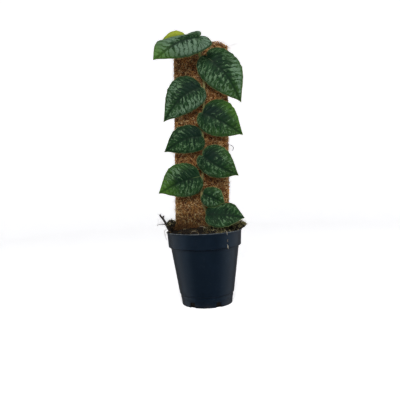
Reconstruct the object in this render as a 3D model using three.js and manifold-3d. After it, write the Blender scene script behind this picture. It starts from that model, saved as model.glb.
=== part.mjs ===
// A shingling aroid climbing a flat coir board, in its nursery pot.
// Millimetres, +Z up. The origin is the centre of the pot's foot, where it stands, and the front faces -Y.

import * as THREE from 'three';
import { mergeVertices } from 'three/addons/utils/BufferGeometryUtils.js';
import Module from 'manifold-3d';

const wasm = await Module();
wasm.setup();

// Clearance between pieces that touch, and the smallest edge that a finished piece keeps.
const GAP = 0.3;
const SLIVER = 0.03;

// The pot: a thin moulded 12 cm nursery pot with a deep collar and a stepped foot.
const POT = {
  height: 116.5,
  rimRadius: 60,
  lip: 0.7,
  collarBottom: 92,
  collarRadius: 58.4,
  shoulderRadius: 54.8,
  footTop: 17.5,
  footTopRadius: 43.8,
  ringHeight: 10.5,
  footRadius: 42,
  baseRadius: 40.6,
  wall: 1.2,
  sides: 44,
};
const DRAIN = { count: 6, width: 9, height: 8.5, depth: 6, firstAngle: -65 };

// The soil fills the pot. Its top is a lumpy mound that rises a little towards the board.
const SOIL = { edge: 112.8, crown: 121, rings: 7, lump: 1.9, holeTop: 24 };
const CHIPS = { count: 36, size: [2.2, 5.2], fromRim: 6.5 };

// The two lumps of the clod at the left of the soil, and those of the mossy bank at its right, which
// hangs over the rim.
const CLOD = [
  { at: [-52, -6, 128], radius: 8.2 },
  { at: [-50, -3, 120.5], radius: 8 },
];
const RIM_LUMPS = [
  { at: [32, -28, 116], radius: 6 },
  { at: [42, -21, 118], radius: 7 },
  { at: [51, -14, 119.6], radius: 7.4 },
  { at: [58.5, -9, 121.6], radius: 6.4 },
  { at: [63.4, -8, 122.6], radius: 4.4 },
];

// The board leans a little to the right. Its own frame starts on its centre line, at the soil.
const BOARD = {
  foot: [-2.4, 0, 120],
  lean: 2.05,
  width: 86,
  thickness: 22,
  corner: 5,
  buried: 62,
  height: 298,
  topSlope: 7,
  leftSlope: 4,
  ragged: 1.4,
  smoothBelow: -6,
  relief: 1.9,
  cell: 7.4,
};
const WHISKERS = { count: 54, length: [4, 9], base: 0.9 };
const STAKE = { width: 45, thickness: 8, below: 114, top: 286, point: 16 };

// The vine's stem, as across and up positions on the board, from its buried end to its tip.
const STEM = {
  radius: 2,
  node: 2.7,
  nodeReach: 5,
  taperFrom: 0.96,
  taperTo: 0.7,
  route: [
    [10, -22], [10.2, 4], [8.2, 21], [2.4, 36], [-0.8, 50], [-1.2, 62], [1.4, 92], [2.6, 117],
    [1.6, 145], [3.2, 165], [3.9, 186], [4.6, 219], [4.4, 234], [2.8, 250], [1.4, 268], [-0.6, 285],
  ],
  rings: 50,
  sides: 7,
};
const ROOT = { radius: 0.75, sides: 5 };

// Where aerial roots leave the stem, and the way they creep over the coir.
const AERIAL_ROOTS = [
  { up: 30, reach: [-15, -9] },
  { up: 43, reach: [12, 6] },
  { up: 66, reach: [-14, -3] },
  { up: 88, reach: [16, 9] },
  { up: 121, reach: [-17, -4] },
  { up: 153, reach: [14, -7] },
  { up: 190, reach: [-16, 5] },
  { up: 229, reach: [-13, 17] },
  { up: 243, reach: [15, 3] },
  { up: 272, reach: [-18, 6] },
];

// Leaf blades share one cordate outline. These are shares of a half's own length, width and lobe.
const OUTLINE = {
  sinus: 0.7,
  lobeFrom: 0.04,
  lobeAt: 0.29,
  lobeTo: 0.63,
  shoulder: 0.62,
  belly: 0.42,
  taper: 0.33,
  taperWidth: 0.38,
  pointFrom: 0.78,
  drawnIn: 0.5,
};
const BLADE = { thickness: 0.9, steps: 15, rings: 3, veinSlant: 0.5, quilt: 0.55 };

// The stalk: its radius where it leaves the stem and at the leaf's tip, how far below the blade it leaves
// the stem, and the shares of the blade's length that its rib passes under.
const PETIOLE = { base: 1.5, tip: 0.55, sides: 5, below: 7, rib: [0.03, 0.2, 0.42, 0.64, 0.86] };

// Each leaf: where its stalk meets the blade (across and up the board, and out from the coir), the way
// its tip points, its length, and its left and right halves seen from the front with the tip away:
// widest half width, where along the leaf, how far the lobe reaches back, and where its back ends as a
// share of the width where that isn't the usual one. tilt turns the upper face up at the base and at the
// tip, fold is how far the halves hang at the midrib and at the margin, drop is how far the tip falls
// back, and joint is the stem's height where a long stalk starts.
const flat = [-7, 7];
const LEAVES = [
  {
    name: 'leaf_1', at: [6.8, 22.6], out: 21, aim: -5, length: 59, bow: 1.5, tilt: [34, 28], drop: 0,
    left: [26.2, 35, 2], right: [19, 19, 2.5], fold: [flat, flat],
  },
  {
    name: 'leaf_2', at: [2, 55.4], out: 13.5, aim: -24, length: 36.5, bow: 0.5, tilt: [4, 0], drop: 2,
    left: [17.3, 18, 2.1], right: [16.1, 14, 1.7], fold: [flat, flat],
  },
  {
    name: 'leaf_3', at: [-4, 82.8], out: 11, aim: -158, length: 70.1, bow: -3.5, tilt: [3, 0], drop: 4,
    left: [23.6, 17, 2.2], right: [32.8, 31, 1.8], fold: [flat, flat],
  },
  {
    name: 'leaf_4', at: [4.6, 113.8], out: 11, aim: -29.4, length: 61.4, bow: -2.8, tilt: [4, 2], drop: 4,
    left: [28.2, 17, 6.7], right: [23.1, 18, 9.6], fold: [flat, flat],
  },
  {
    name: 'leaf_5', at: [-1.2, 146.3], out: 11, aim: -157, length: 63.2, bow: -5.7, tilt: [2, -2], drop: 3,
    left: [20, 9, 3.1], right: [27.5, 26, 3.7], fold: [flat, flat],
  },
  {
    name: 'leaf_6', at: [3.3, 182.4], out: 11, aim: -29, length: 71.2, bow: 2.3, tilt: [4, 0], drop: 4,
    left: [35.6, 23, 3.2], right: [25, 20, 6.4], fold: [flat, flat],
  },
  {
    name: 'leaf_7', at: [-1.7, 223.4], out: 11, aim: -137.2, length: 79.5, bow: -8, tilt: [3, 0], drop: 5,
    left: [21.4, 15, 2.9], right: [37.8, 21, 3.8], fold: [flat, flat],
  },
  {
    name: 'leaf_8', at: [12.2, 268.4], out: 11.5, aim: -53.6, length: 86.1, bow: 6, tilt: [5, 0], drop: 6,
    left: [38, 27, 10.6], right: [27.3, 15, 9.6], fold: [flat, flat],
  },
  {
    name: 'leaf_9', at: [-3.7, 294.5], out: 36, aim: -153.4, length: 77, bow: -5.7, tilt: [19, -8], drop: 1,
    left: [21.2, 6, 15.3, 1.6], right: [36.4, 54, 8.8, 1.2], fold: [[6, 30], [12, 37]], joint: 271,
  },
  {
    name: 'young_leaf', at: [-25, 300], out: 4.2, aim: -169.5, length: 42.7, bow: -1, tilt: [1, 2.5],
    drop: 0, left: [13, 14, 2.5], right: [20.4, 13.6, 2.5], fold: [[4, 8], [12, 18]], joint: 278.5,
  },
];

// The dark forked stub of an old root, which stands out of the soil at the left. Its radii are at the
// points of its route, the others at their two ends. It is knotted above its lowest 0.4.
const STUB = {
  route: [
    [-50.4, -13, 103], [-54.4, -13.5, 118], [-58.6, -14, 126.6], [-63.2, -14.6, 136.4], [-69.8, -15, 145.6],
  ],
  radii: [2.4, 2.3, 2, 1.6, 0.9],
  fork: [[-62.2, -14.4, 134.5], [-64.6, -15.4, 139.5], [-64.8, -15.8, 144.2]],
  forkRadii: [1.2, 0.6],
  side: [[-59.6, -14, 129], [-66, -16.5, 130.4], [-74, -18, 129.6]],
  sideRadii: [0.8, 0.4],
  knots: 0.12,
  knotsFrom: 0.4,
  sides: 7,
};

const COLOURS = {
  pot: 0x1a222e,
  soil: 0x2a2018,
  coir: 0x7d5030,
  stake: 0xa98a5e,
  stem: 0x5b6b39,
  leaf: 0x2c5a3c,
  young: 0x98a33b,
  stub: 0x241a14,
};

// Repeatable random numbers.
function randomFrom(seed) {
  let state = seed;
  return () => {
    state = (state * 1664525 + 1013904223) % 4294967296;
    return state / 4294967296;
  };
}

const mix = (a, b, t) => a + (b - a) * t;
const radians = THREE.MathUtils.degToRad;

// A fixed random number between 0 and 1 for each place.
function speckle(x, y) {
  const value = Math.sin(x * 12.9898 + y * 78.233) * 43758.5453;
  return value - Math.floor(value);
}

// Sums of waves at unlike lengths, between about -1 and 1, for lumpy ground.
function lumps(x, y, scale) {
  const a = Math.sin(x * 1.31 * scale + Math.sin(y * 0.83 * scale) * 1.7);
  const b = Math.sin(y * 1.57 * scale + Math.sin(x * 1.13 * scale + 2.1) * 1.9);
  const c = Math.sin((x * 2.3 - y * 1.9) * scale + 0.7);
  return (a + b + c) / 3;
}

// Any closed mesh as a solid, with its faces turned outwards.
function solidFromMesh(points, triangles) {
  let volume = 0;
  const a = new THREE.Vector3();
  const b = new THREE.Vector3();
  const c = new THREE.Vector3();
  for (const [i, j, k] of triangles) {
    a.copy(points[i]);
    b.copy(points[j]);
    c.copy(points[k]);
    volume += a.dot(b.cross(c));
  }
  const faces = volume > 0 ? triangles : triangles.map(([i, j, k]) => [i, k, j]);
  const mesh = new wasm.Mesh({
    numProp: 3,
    vertProperties: new Float32Array(points.flatMap((p) => [p.x, p.y, p.z])),
    triVerts: new Uint32Array(faces.flat()),
  });
  return new wasm.Manifold(mesh);
}

// A three.js geometry as a solid: shared corners are merged and triangles with no area are dropped.
function solidFromGeometry(geometry) {
  const bare = geometry.index ? geometry.toNonIndexed() : geometry.clone();
  bare.deleteAttribute('normal');
  bare.deleteAttribute('uv');
  const merged = mergeVertices(bare, 1e-4);
  const position = merged.getAttribute('position');
  const points = [];
  for (let i = 0; i < position.count; i += 1) {
    points.push(new THREE.Vector3().fromBufferAttribute(position, i));
  }
  const index = merged.index.array;
  const triangles = [];
  for (let i = 0; i < index.length; i += 3) {
    const [p, q, r] = [index[i], index[i + 1], index[i + 2]];
    if (p !== q && q !== r && r !== p) triangles.push([p, q, r]);
  }
  return solidFromMesh(points, triangles);
}

const joined = (solids) => wasm.Manifold.union(solids);
const cut = (solid, tools) => solid.subtract(joined(tools));

// The largest body of a solid, without the loose scraps that a cut can leave.
function mainBody(solid) {
  return solid.decompose().reduce((best, body) => (body.volume() > best.volume() ? body : best));
}

// Rings of points, each ring with the same count, skinned and closed by a point at either end.
function solidFromRings(rings, first, last) {
  const count = rings[0].length;
  const points = [first, ...rings.flat(), last];
  const end = points.length - 1;
  const triangles = [];
  for (let i = 0; i < count; i += 1) {
    const next = (i + 1) % count;
    triangles.push([0, 1 + next, 1 + i]);
    triangles.push([end, end - count + i, end - count + next]);
    for (let row = 0; row < rings.length - 1; row += 1) {
      const low = 1 + row * count;
      const high = low + count;
      triangles.push([low + i, low + next, high + next]);
      triangles.push([low + i, high + next, high + i]);
    }
  }
  return solidFromMesh(points, triangles);
}

// A round piece that follows a line through points, with its own radius at each step.
function tube(points, radiusAt, steps, sides) {
  const curve = new THREE.CatmullRomCurve3(points, false, 'centripetal');
  const frames = curve.computeFrenetFrames(steps, false);
  const rings = [];
  for (let i = 0; i <= steps; i += 1) {
    const t = i / steps;
    const centre = curve.getPointAt(t);
    const radius = radiusAt(t);
    const ring = [];
    for (let k = 0; k < sides; k += 1) {
      const turn = (k / sides) * Math.PI * 2;
      ring.push(centre.clone()
        .addScaledVector(frames.normals[i], Math.cos(turn) * radius)
        .addScaledVector(frames.binormals[i], Math.sin(turn) * radius));
    }
    rings.push(ring);
  }
  return solidFromRings(rings, curve.getPointAt(0), curve.getPointAt(1));
}

function box(sizeX, sizeY, sizeZ, centre) {
  const geometry = new THREE.BoxGeometry(sizeX, sizeY, sizeZ);
  geometry.translate(...centre);
  return solidFromGeometry(geometry);
}

// The pot's inner wall from its floor to its rim, as radius and height, moved inwards by a clearance.
function potInside(clearance) {
  const { wall } = POT;
  return [
    [POT.baseRadius - 0.9 - clearance, wall + clearance],
    [POT.footRadius - wall - clearance, POT.ringHeight],
    [POT.footTopRadius - wall - clearance, POT.footTop + 1],
    [POT.shoulderRadius - wall - clearance, POT.collarBottom - 1.6 + clearance],
    [POT.collarRadius - wall - clearance, POT.collarBottom + 0.4 + clearance],
    [POT.rimRadius - wall - clearance, POT.height - 1],
  ];
}

function makePot() {
  const outside = [
    [POT.baseRadius, 0],
    [POT.footRadius - 0.5, POT.ringHeight - 0.6],
    [POT.footRadius, POT.ringHeight],
    [POT.footRadius + 0.5, POT.footTop - 0.8],
    [POT.footTopRadius, POT.footTop],
    [POT.shoulderRadius, POT.collarBottom - 0.6],
    [POT.collarRadius, POT.collarBottom],
    [POT.rimRadius - 0.2, POT.height - 2.2],
    [POT.rimRadius + POT.lip, POT.height - 1.6],
    [POT.rimRadius + POT.lip, POT.height - 0.4],
    [POT.rimRadius, POT.height],
    [POT.rimRadius - POT.wall + 0.4, POT.height],
  ];
  const profile = [[0, 0], ...outside, ...potInside(0).reverse(), [0, POT.wall]];
  const lathe = new THREE.LatheGeometry(profile.map(([r, z]) => new THREE.Vector2(r, z)), POT.sides);
  lathe.rotateX(Math.PI / 2);
  const drains = [];
  for (let i = 0; i < DRAIN.count; i += 1) {
    const drain = new THREE.BoxGeometry(DRAIN.depth, DRAIN.width, DRAIN.height * 2);
    drain.translate(POT.baseRadius, 0, 0);
    drain.rotateZ(radians(DRAIN.firstAngle + (i * 360) / DRAIN.count));
    drains.push(solidFromGeometry(drain));
  }
  return cut(solidFromGeometry(lathe), drains);
}

// The board's own frame in the part's frame: everything that climbs the board is placed by it.
const boardFrame = new THREE.Matrix4().compose(
  new THREE.Vector3(...BOARD.foot),
  new THREE.Quaternion().setFromAxisAngle(new THREE.Vector3(0, 1, 0), radians(BOARD.lean)),
  new THREE.Vector3(1, 1, 1),
);

const onBoard = (solid) => solid.transform(boardFrame.elements);
const boardFront = -BOARD.thickness / 2;
const stemDepth = boardFront - GAP - STEM.node;

// The height of the soil's top at a place in the pot.
function soilTop(x, y) {
  const far = Math.min(1, Math.hypot(x, y) / (POT.rimRadius - POT.wall));
  const mound = 1 - far ** 3;
  const rough = 0.7 * lumps(x, y, 0.22) + 0.6 * speckle(x, y) - 0.3;
  return mix(SOIL.edge, SOIL.crown, mound) + SOIL.lump * rough;
}

// One rough chip or clod: a low ball with its corners pushed about.
function clod(centre, radius, random) {
  const geometry = new THREE.IcosahedronGeometry(radius, radius > 5 ? 1 : 0);
  geometry.scale(mix(0.9, 1.35, random()), mix(0.7, 1.1, random()), mix(0.55, 0.9, random()));
  geometry.rotateX(random() * 0.8);
  geometry.rotateZ(random() * Math.PI);
  geometry.translate(...centre);
  return solidFromGeometry(geometry);
}

function makeSoil() {
  const side = potInside(GAP);
  const wallTop = side[side.length - 1][0] - 0.25;
  const rings = [];
  const ringOf = (radius, height) => {
    const ring = [];
    for (let k = 0; k < POT.sides; k += 1) {
      const turn = (k / POT.sides) * Math.PI * 2;
      const x = Math.sin(turn) * radius;
      const y = Math.cos(turn) * radius;
      ring.push(new THREE.Vector3(x, y, height(x, y)));
    }
    return ring;
  };
  for (const [radius, z] of side.slice(0, -1)) rings.push(ringOf(radius, () => z));
  for (let i = 0; i < SOIL.rings; i += 1) {
    rings.push(ringOf(wallTop * (1 - i / SOIL.rings), soilTop));
  }
  const first = new THREE.Vector3(0, 0, side[0][1]);
  const last = new THREE.Vector3(0, 0, soilTop(0, 0));
  const body = solidFromRings(rings, first, last);

  // Chips stay inside the pot's wall, and lie over its rim only with a clearance.
  const clear = potInside(GAP + 0.1);
  const rimInside = clear[clear.length - 1][0];
  const above = POT.height + GAP;
  const spacePoints = [[0, 90], [rimInside - 1.2, 90], [rimInside, above], [80, above], [80, 160], [0, 160]];
  const space = new THREE.LatheGeometry(spacePoints.map(([r, z]) => new THREE.Vector2(r, z)), POT.sides);
  space.rotateX(Math.PI / 2);

  const random = randomFrom(71);
  const lumpsOfSoil = CLOD.map(({ at, radius }) => clod(at, radius, random));
  for (let i = 0; i < CHIPS.count; i += 1) {
    const turn = random() * Math.PI * 2;
    const out = Math.sqrt(mix(0.25, 1, random())) * (POT.rimRadius - CHIPS.fromRim);
    const x = Math.cos(turn) * out;
    const y = Math.sin(turn) * out;
    const size = mix(CHIPS.size[0], CHIPS.size[1], random() ** 2);
    lumpsOfSoil.push(clod([x, y, soilTop(x, y) + size * 0.1], size, random));
  }
  for (const { at, radius } of RIM_LUMPS) lumpsOfSoil.push(clod(at, radius, random));

  // Plain holes for the board, its stake, the stem and the old root.
  const stemFoot = STEM.route.slice(0, 2).map(([across, up]) => new THREE.Vector3(across, stemDepth, up));
  const stemHole = [
    stemFoot[0].clone().setZ(stemFoot[0].z - GAP),
    stemFoot[1],
    stemFoot[1].clone().setZ(SOIL.holeTop),
  ];
  const holes = [
    box(
      BOARD.width + 2 * GAP,
      BOARD.thickness + 2 * GAP,
      BOARD.buried + SOIL.holeTop,
      [0, 0, (SOIL.holeTop - BOARD.buried) / 2 - GAP],
    ),
    box(
      STAKE.width + 2 * GAP,
      STAKE.thickness + 2 * GAP,
      STAKE.below,
      [0, 0, -STAKE.below / 2 - GAP],
    ),
    tube(stemHole, () => STEM.node + GAP, 2, 12),
  ].map(onBoard);
  const rootFoot = STUB.route.slice(0, 3).map((p) => new THREE.Vector3(...p));
  rootFoot[0].addScaledVector(rootFoot[0].clone().sub(rootFoot[1]).normalize(), GAP);
  holes.push(tube(rootFoot, () => STUB.radii[0] + GAP, 3, 10));
  const chips = joined(lumpsOfSoil).intersect(solidFromGeometry(space));
  return mainBody(cut(joined([body, chips]), holes));
}

// How far the matted fibre lies below the board's flat size, at a place on its face: bundles that cross.
function coirRelief(across, up) {
  const rising = Math.abs(Math.sin(across * 0.9 + up * 1.7));
  const falling = Math.abs(Math.sin(across * 1.3 - up * 0.6 + 1));
  return BOARD.relief * (0.35 * rising * falling + 0.65 * speckle(across, up));
}

// The height of the board's ragged top, which slopes away at the right corner.
function coirTop(across) {
  const slope = THREE.MathUtils.smoothstep(across, BOARD.width * 0.33, BOARD.width * 0.5);
  const left = THREE.MathUtils.smoothstep(-across, BOARD.width * 0.38, BOARD.width * 0.5);
  const ragged = BOARD.ragged * lumps(across, 3.7, 0.9);
  return BOARD.height - BOARD.topSlope * slope - BOARD.leftSlope * left + ragged;
}

// The matted coir: a rectangle with cut corners, stacked level by level, and hollow for the stake.
function makeCoir() {
  const halfDepth = BOARD.thickness / 2;
  const halfWidth = BOARD.width / 2;
  const face = halfWidth - BOARD.corner;
  const edge = halfDepth - BOARD.corner * 0.7;
  const columns = Math.round(BOARD.width / BOARD.cell);

  // One level of the section, walked round: front from left to right, right edge, back, left edge.
  const level = (up, rough) => {
    const ring = [];
    const add = (across, depth, outX, outY) => {
      const sink = rough ? coirRelief(across + depth * 2, up) : 0;
      const height = Math.min(up, coirTop(across));
      ring.push(new THREE.Vector3(across - outX * sink, depth - outY * sink, height));
    };
    for (let i = 0; i <= columns; i += 1) add(mix(-face, face, i / columns), -halfDepth, 0, -1);
    add(halfWidth, -edge, 1, 0);
    add(halfWidth, edge, 1, 0);
    for (let i = 0; i <= columns; i += 1) add(mix(face, -face, i / columns), halfDepth, 0, 1);
    add(-halfWidth, edge, -1, 0);
    add(-halfWidth, -edge, -1, 0);
    return ring;
  };
  const rings = [level(-BOARD.buried, false), level(BOARD.smoothBelow, false)];
  const rows = Math.round(BOARD.height / BOARD.cell);
  const shoulder = BOARD.height - BOARD.topSlope - 7;
  for (let i = 0; i < rows; i += 1) rings.push(level(mix(1, shoulder, i / (rows - 1)), true));
  rings.push(level(BOARD.height + 5, true));

  // The top closes over a ridge of points along the middle.
  const points = rings.flat();
  const count = rings[0].length;
  const triangles = [];
  for (let row = 0; row < rings.length - 1; row += 1) {
    for (let i = 0; i < count; i += 1) {
      const next = (i + 1) % count;
      const low = row * count;
      triangles.push([low + i, low + next, low + count + next]);
      triangles.push([low + i, low + count + next, low + count + i]);
    }
  }
  const closeEnd = (start, lift, flip) => {
    const centre = points.length;
    points.push(new THREE.Vector3(0, 0, points[start].z + lift));
    for (let i = 0; i < count; i += 1) {
      const next = (i + 1) % count;
      triangles.push(flip ? [start + next, start + i, centre] : [start + i, start + next, centre]);
    }
  };
  closeEnd(0, 0, true);
  closeEnd((rings.length - 1) * count, 4, false);
  const pad = solidFromMesh(points, triangles);

  // Loose fibre ends: slim spikes that stand out of the edges and the top.
  const random = randomFrom(19);
  const spikes = [];
  for (let i = 0; i < WHISKERS.count; i += 1) {
    const length = mix(WHISKERS.length[0], WHISKERS.length[1], random());
    const onTop = i % 3 === 0;
    const side = random() < 0.5 ? -1 : 1;
    const across = onTop ? mix(-0.9, 0.9, random()) * halfWidth : side * (halfWidth - 1.6);
    const depth = mix(-0.8, 0.8, random()) * edge;
    const up = onTop ? coirTop(across) - 3 : mix(6, BOARD.height - 14, random());
    const root = new THREE.Vector3(across, depth, up);
    const way = onTop
      ? new THREE.Vector3(mix(-0.9, 0.9, random()), mix(-0.7, 0.7, random()), 1)
      : new THREE.Vector3(side, mix(-0.5, 0.5, random()), mix(-0.9, 0.9, random()));
    way.normalize();
    const tip = root.clone().addScaledVector(way, length);
    const acrossWay = new THREE.Vector3(0, 1, 0.3).cross(way).normalize();
    const thirdWay = new THREE.Vector3().crossVectors(way, acrossWay);
    const base = [0, 1, 2].map((k) => root.clone()
      .addScaledVector(acrossWay, Math.cos((k * Math.PI * 2) / 3) * WHISKERS.base)
      .addScaledVector(thirdWay, Math.sin((k * Math.PI * 2) / 3) * WHISKERS.base));
    spikes.push(solidFromMesh([...base, tip], [[0, 2, 1], [0, 1, 3], [1, 2, 3], [2, 0, 3]]));
  }
  const slotTop = STAKE.top + GAP;
  const slot = box(
    STAKE.width + 2 * GAP,
    STAKE.thickness + 2 * GAP,
    slotTop + BOARD.buried + 10,
    [0, 0, (slotTop - BOARD.buried - 10) / 2],
  );
  return mainBody(cut(joined([pad, ...spikes]), [slot]));
}

// The flat wooden stake that stiffens the coir, with a pointed foot in the soil.
function makeStake() {
  const half = STAKE.width / 2;
  const shape = new THREE.Shape();
  shape.moveTo(-half, STAKE.top);
  shape.lineTo(-half, -STAKE.below + STAKE.point);
  shape.lineTo(-half * 0.2, -STAKE.below);
  shape.lineTo(half * 0.2, -STAKE.below);
  shape.lineTo(half, -STAKE.below + STAKE.point);
  shape.lineTo(half, STAKE.top);
  shape.closePath();
  const geometry = new THREE.ExtrudeGeometry(shape, { depth: STAKE.thickness, bevelEnabled: false });
  geometry.translate(0, 0, -STAKE.thickness / 2);
  geometry.rotateX(Math.PI / 2);
  return solidFromGeometry(geometry);
}

// The stem lies against the board's front.
const stemLine = new THREE.CatmullRomCurve3(
  STEM.route.map(([across, up]) => new THREE.Vector3(across, stemDepth, up)),
  false,
  'centripetal',
);

// The point of the stem's centre line at a height on the board.
function stemAt(up) {
  let low = 0;
  let high = 1;
  for (let i = 0; i < 24; i += 1) {
    const middle = (low + high) / 2;
    if (stemLine.getPointAt(middle).z < up) low = middle;
    else high = middle;
  }
  return stemLine.getPointAt((low + high) / 2);
}

function makeStem() {
  const nodes = LEAVES.map((leaf) => leafJoint(leaf).up);
  const radiusAt = (t) => {
    const up = stemLine.getPointAt(t).z;
    const near = Math.min(...nodes.map((node) => Math.abs(node - up)));
    const swell = Math.max(0, 1 - near / STEM.nodeReach);
    const nearTip = Math.max(0, t - STEM.taperFrom) / (1 - STEM.taperFrom);
    return mix(STEM.radius, STEM.node, swell) * mix(1, STEM.taperTo, nearTip);
  };
  const stem = tube(stemLine.points, radiusAt, STEM.rings, STEM.sides);
  const depth = boardFront - GAP - ROOT.radius;
  const roots = AERIAL_ROOTS.map(({ up, reach }) => {
    const start = stemAt(up);
    const [across, along] = reach;
    const way = Math.sign(across);
    const points = [
      start.clone(),
      new THREE.Vector3(start.x + way * 3.2, depth - 0.8, up + along * 0.1),
      new THREE.Vector3(start.x + across * 0.45, depth, up + along * 0.5),
      new THREE.Vector3(start.x + across * 0.75, depth, up + along * 0.55),
      new THREE.Vector3(start.x + across, depth, up + along),
    ];
    return tube(points, (t) => mix(ROOT.radius, ROOT.radius * 0.6, t), 6, ROOT.sides);
  });
  return joined([stem, ...roots]);
}

// Where a leaf's stalk leaves the stem: its height there, and the way out of the stem.
function leafJoint(leaf) {
  const [across, up] = leaf.at;
  const height = leaf.joint ?? up - PETIOLE.below;
  const centre = stemAt(height);
  const aside = THREE.MathUtils.clamp((across - centre.x) * 0.12, -1, 1);
  const out = new THREE.Vector3(aside, -1, 0.25).normalize();
  return { up: height, centre, out };
}

// One half of the outline, from the notch at the stalk round the lobe to the tip: along and across. Near
// the tip the lower half's width is drawn in by a share, which leaves the leaf's drip tip.
function halfOutline(length, [wide, at, lobe, back = OUTLINE.lobeTo], drawnIn, steps) {
  const o = OUTLINE;
  const more = back - o.lobeTo;
  const from = wide * (o.lobeFrom + 0.4 * more);
  const turn = (wide * o.lobeAt * back) / o.lobeTo;
  const corner = (along, across) => new THREE.Vector2(along, across);
  const pieces = [
    new THREE.CubicBezierCurve(
      corner(0, 0),
      corner(-lobe * o.sinus, 0),
      corner(-lobe, from),
      corner(-lobe, turn),
    ),
    new THREE.CubicBezierCurve(
      corner(-lobe, turn),
      corner(-lobe, wide * Math.min(1, back)),
      corner(at - (at + lobe) * o.shoulder, wide),
      corner(at, wide),
    ),
    new THREE.CubicBezierCurve(
      corner(at, wide),
      corner(at + (length - at) * o.belly, wide),
      corner(length - (length - at) * o.taper, wide * o.taperWidth),
      corner(length, 0),
    ),
  ];
  const path = new THREE.CurvePath();
  pieces.forEach((piece) => path.add(piece));
  return path.getSpacedPoints(steps).map((point) => {
    const near = THREE.MathUtils.smoothstep(point.x, length * o.pointFrom, length);
    return corner(point.x, point.y * (1 - drawnIn * near));
  });
}

// A leaf's own directions: along its chord, across it, and out of its upper face.
function leafAxes(leaf) {
  const aim = radians(leaf.aim);
  const along = new THREE.Vector3(Math.cos(aim), 0, Math.sin(aim));
  const across = new THREE.Vector3(-Math.sin(aim), 0, Math.cos(aim));
  const face = new THREE.Vector3(0, -1, 0);
  return { along, across, face };
}

// A point of the blade. s runs along the midrib from the stalk to the tip, and the point lies off the
// midrib by an along and an across distance, on the left half (side 1) or the right one (side -1).
// share is how far it is from the midrib to the margin, and swell lifts it off the blade's own form.
function bladePoint(leaf, s, side, offAlong, offAcross, share, swell = 0) {
  const { along, across, face } = leafAxes(leaf);
  const tilt = radians(mix(leaf.tilt[0], leaf.tilt[1], s)) * Math.sign(across.z);
  const over = across.clone().multiplyScalar(Math.cos(tilt)).addScaledVector(face, -Math.sin(tilt));
  const up = face.clone().multiplyScalar(Math.cos(tilt)).addScaledVector(across, Math.sin(tilt));
  const [inner, outer] = leaf.fold[side > 0 ? 0 : 1];
  const hang = radians(mix(inner, outer, share));
  const bow = leaf.bow * Math.sin(Math.PI * s) * (1 + 0.25 * Math.cos(Math.PI * s));
  const rise = 2.2 * Math.sin(Math.PI * s) - leaf.drop * s * s;
  return new THREE.Vector3(leaf.at[0], boardFront - leaf.out, leaf.at[1])
    .addScaledVector(along, s * leaf.length + offAlong)
    .addScaledVector(over, bow + side * offAcross * Math.cos(hang))
    .addScaledVector(up, rise + swell - offAcross * Math.sin(hang));
}

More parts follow.
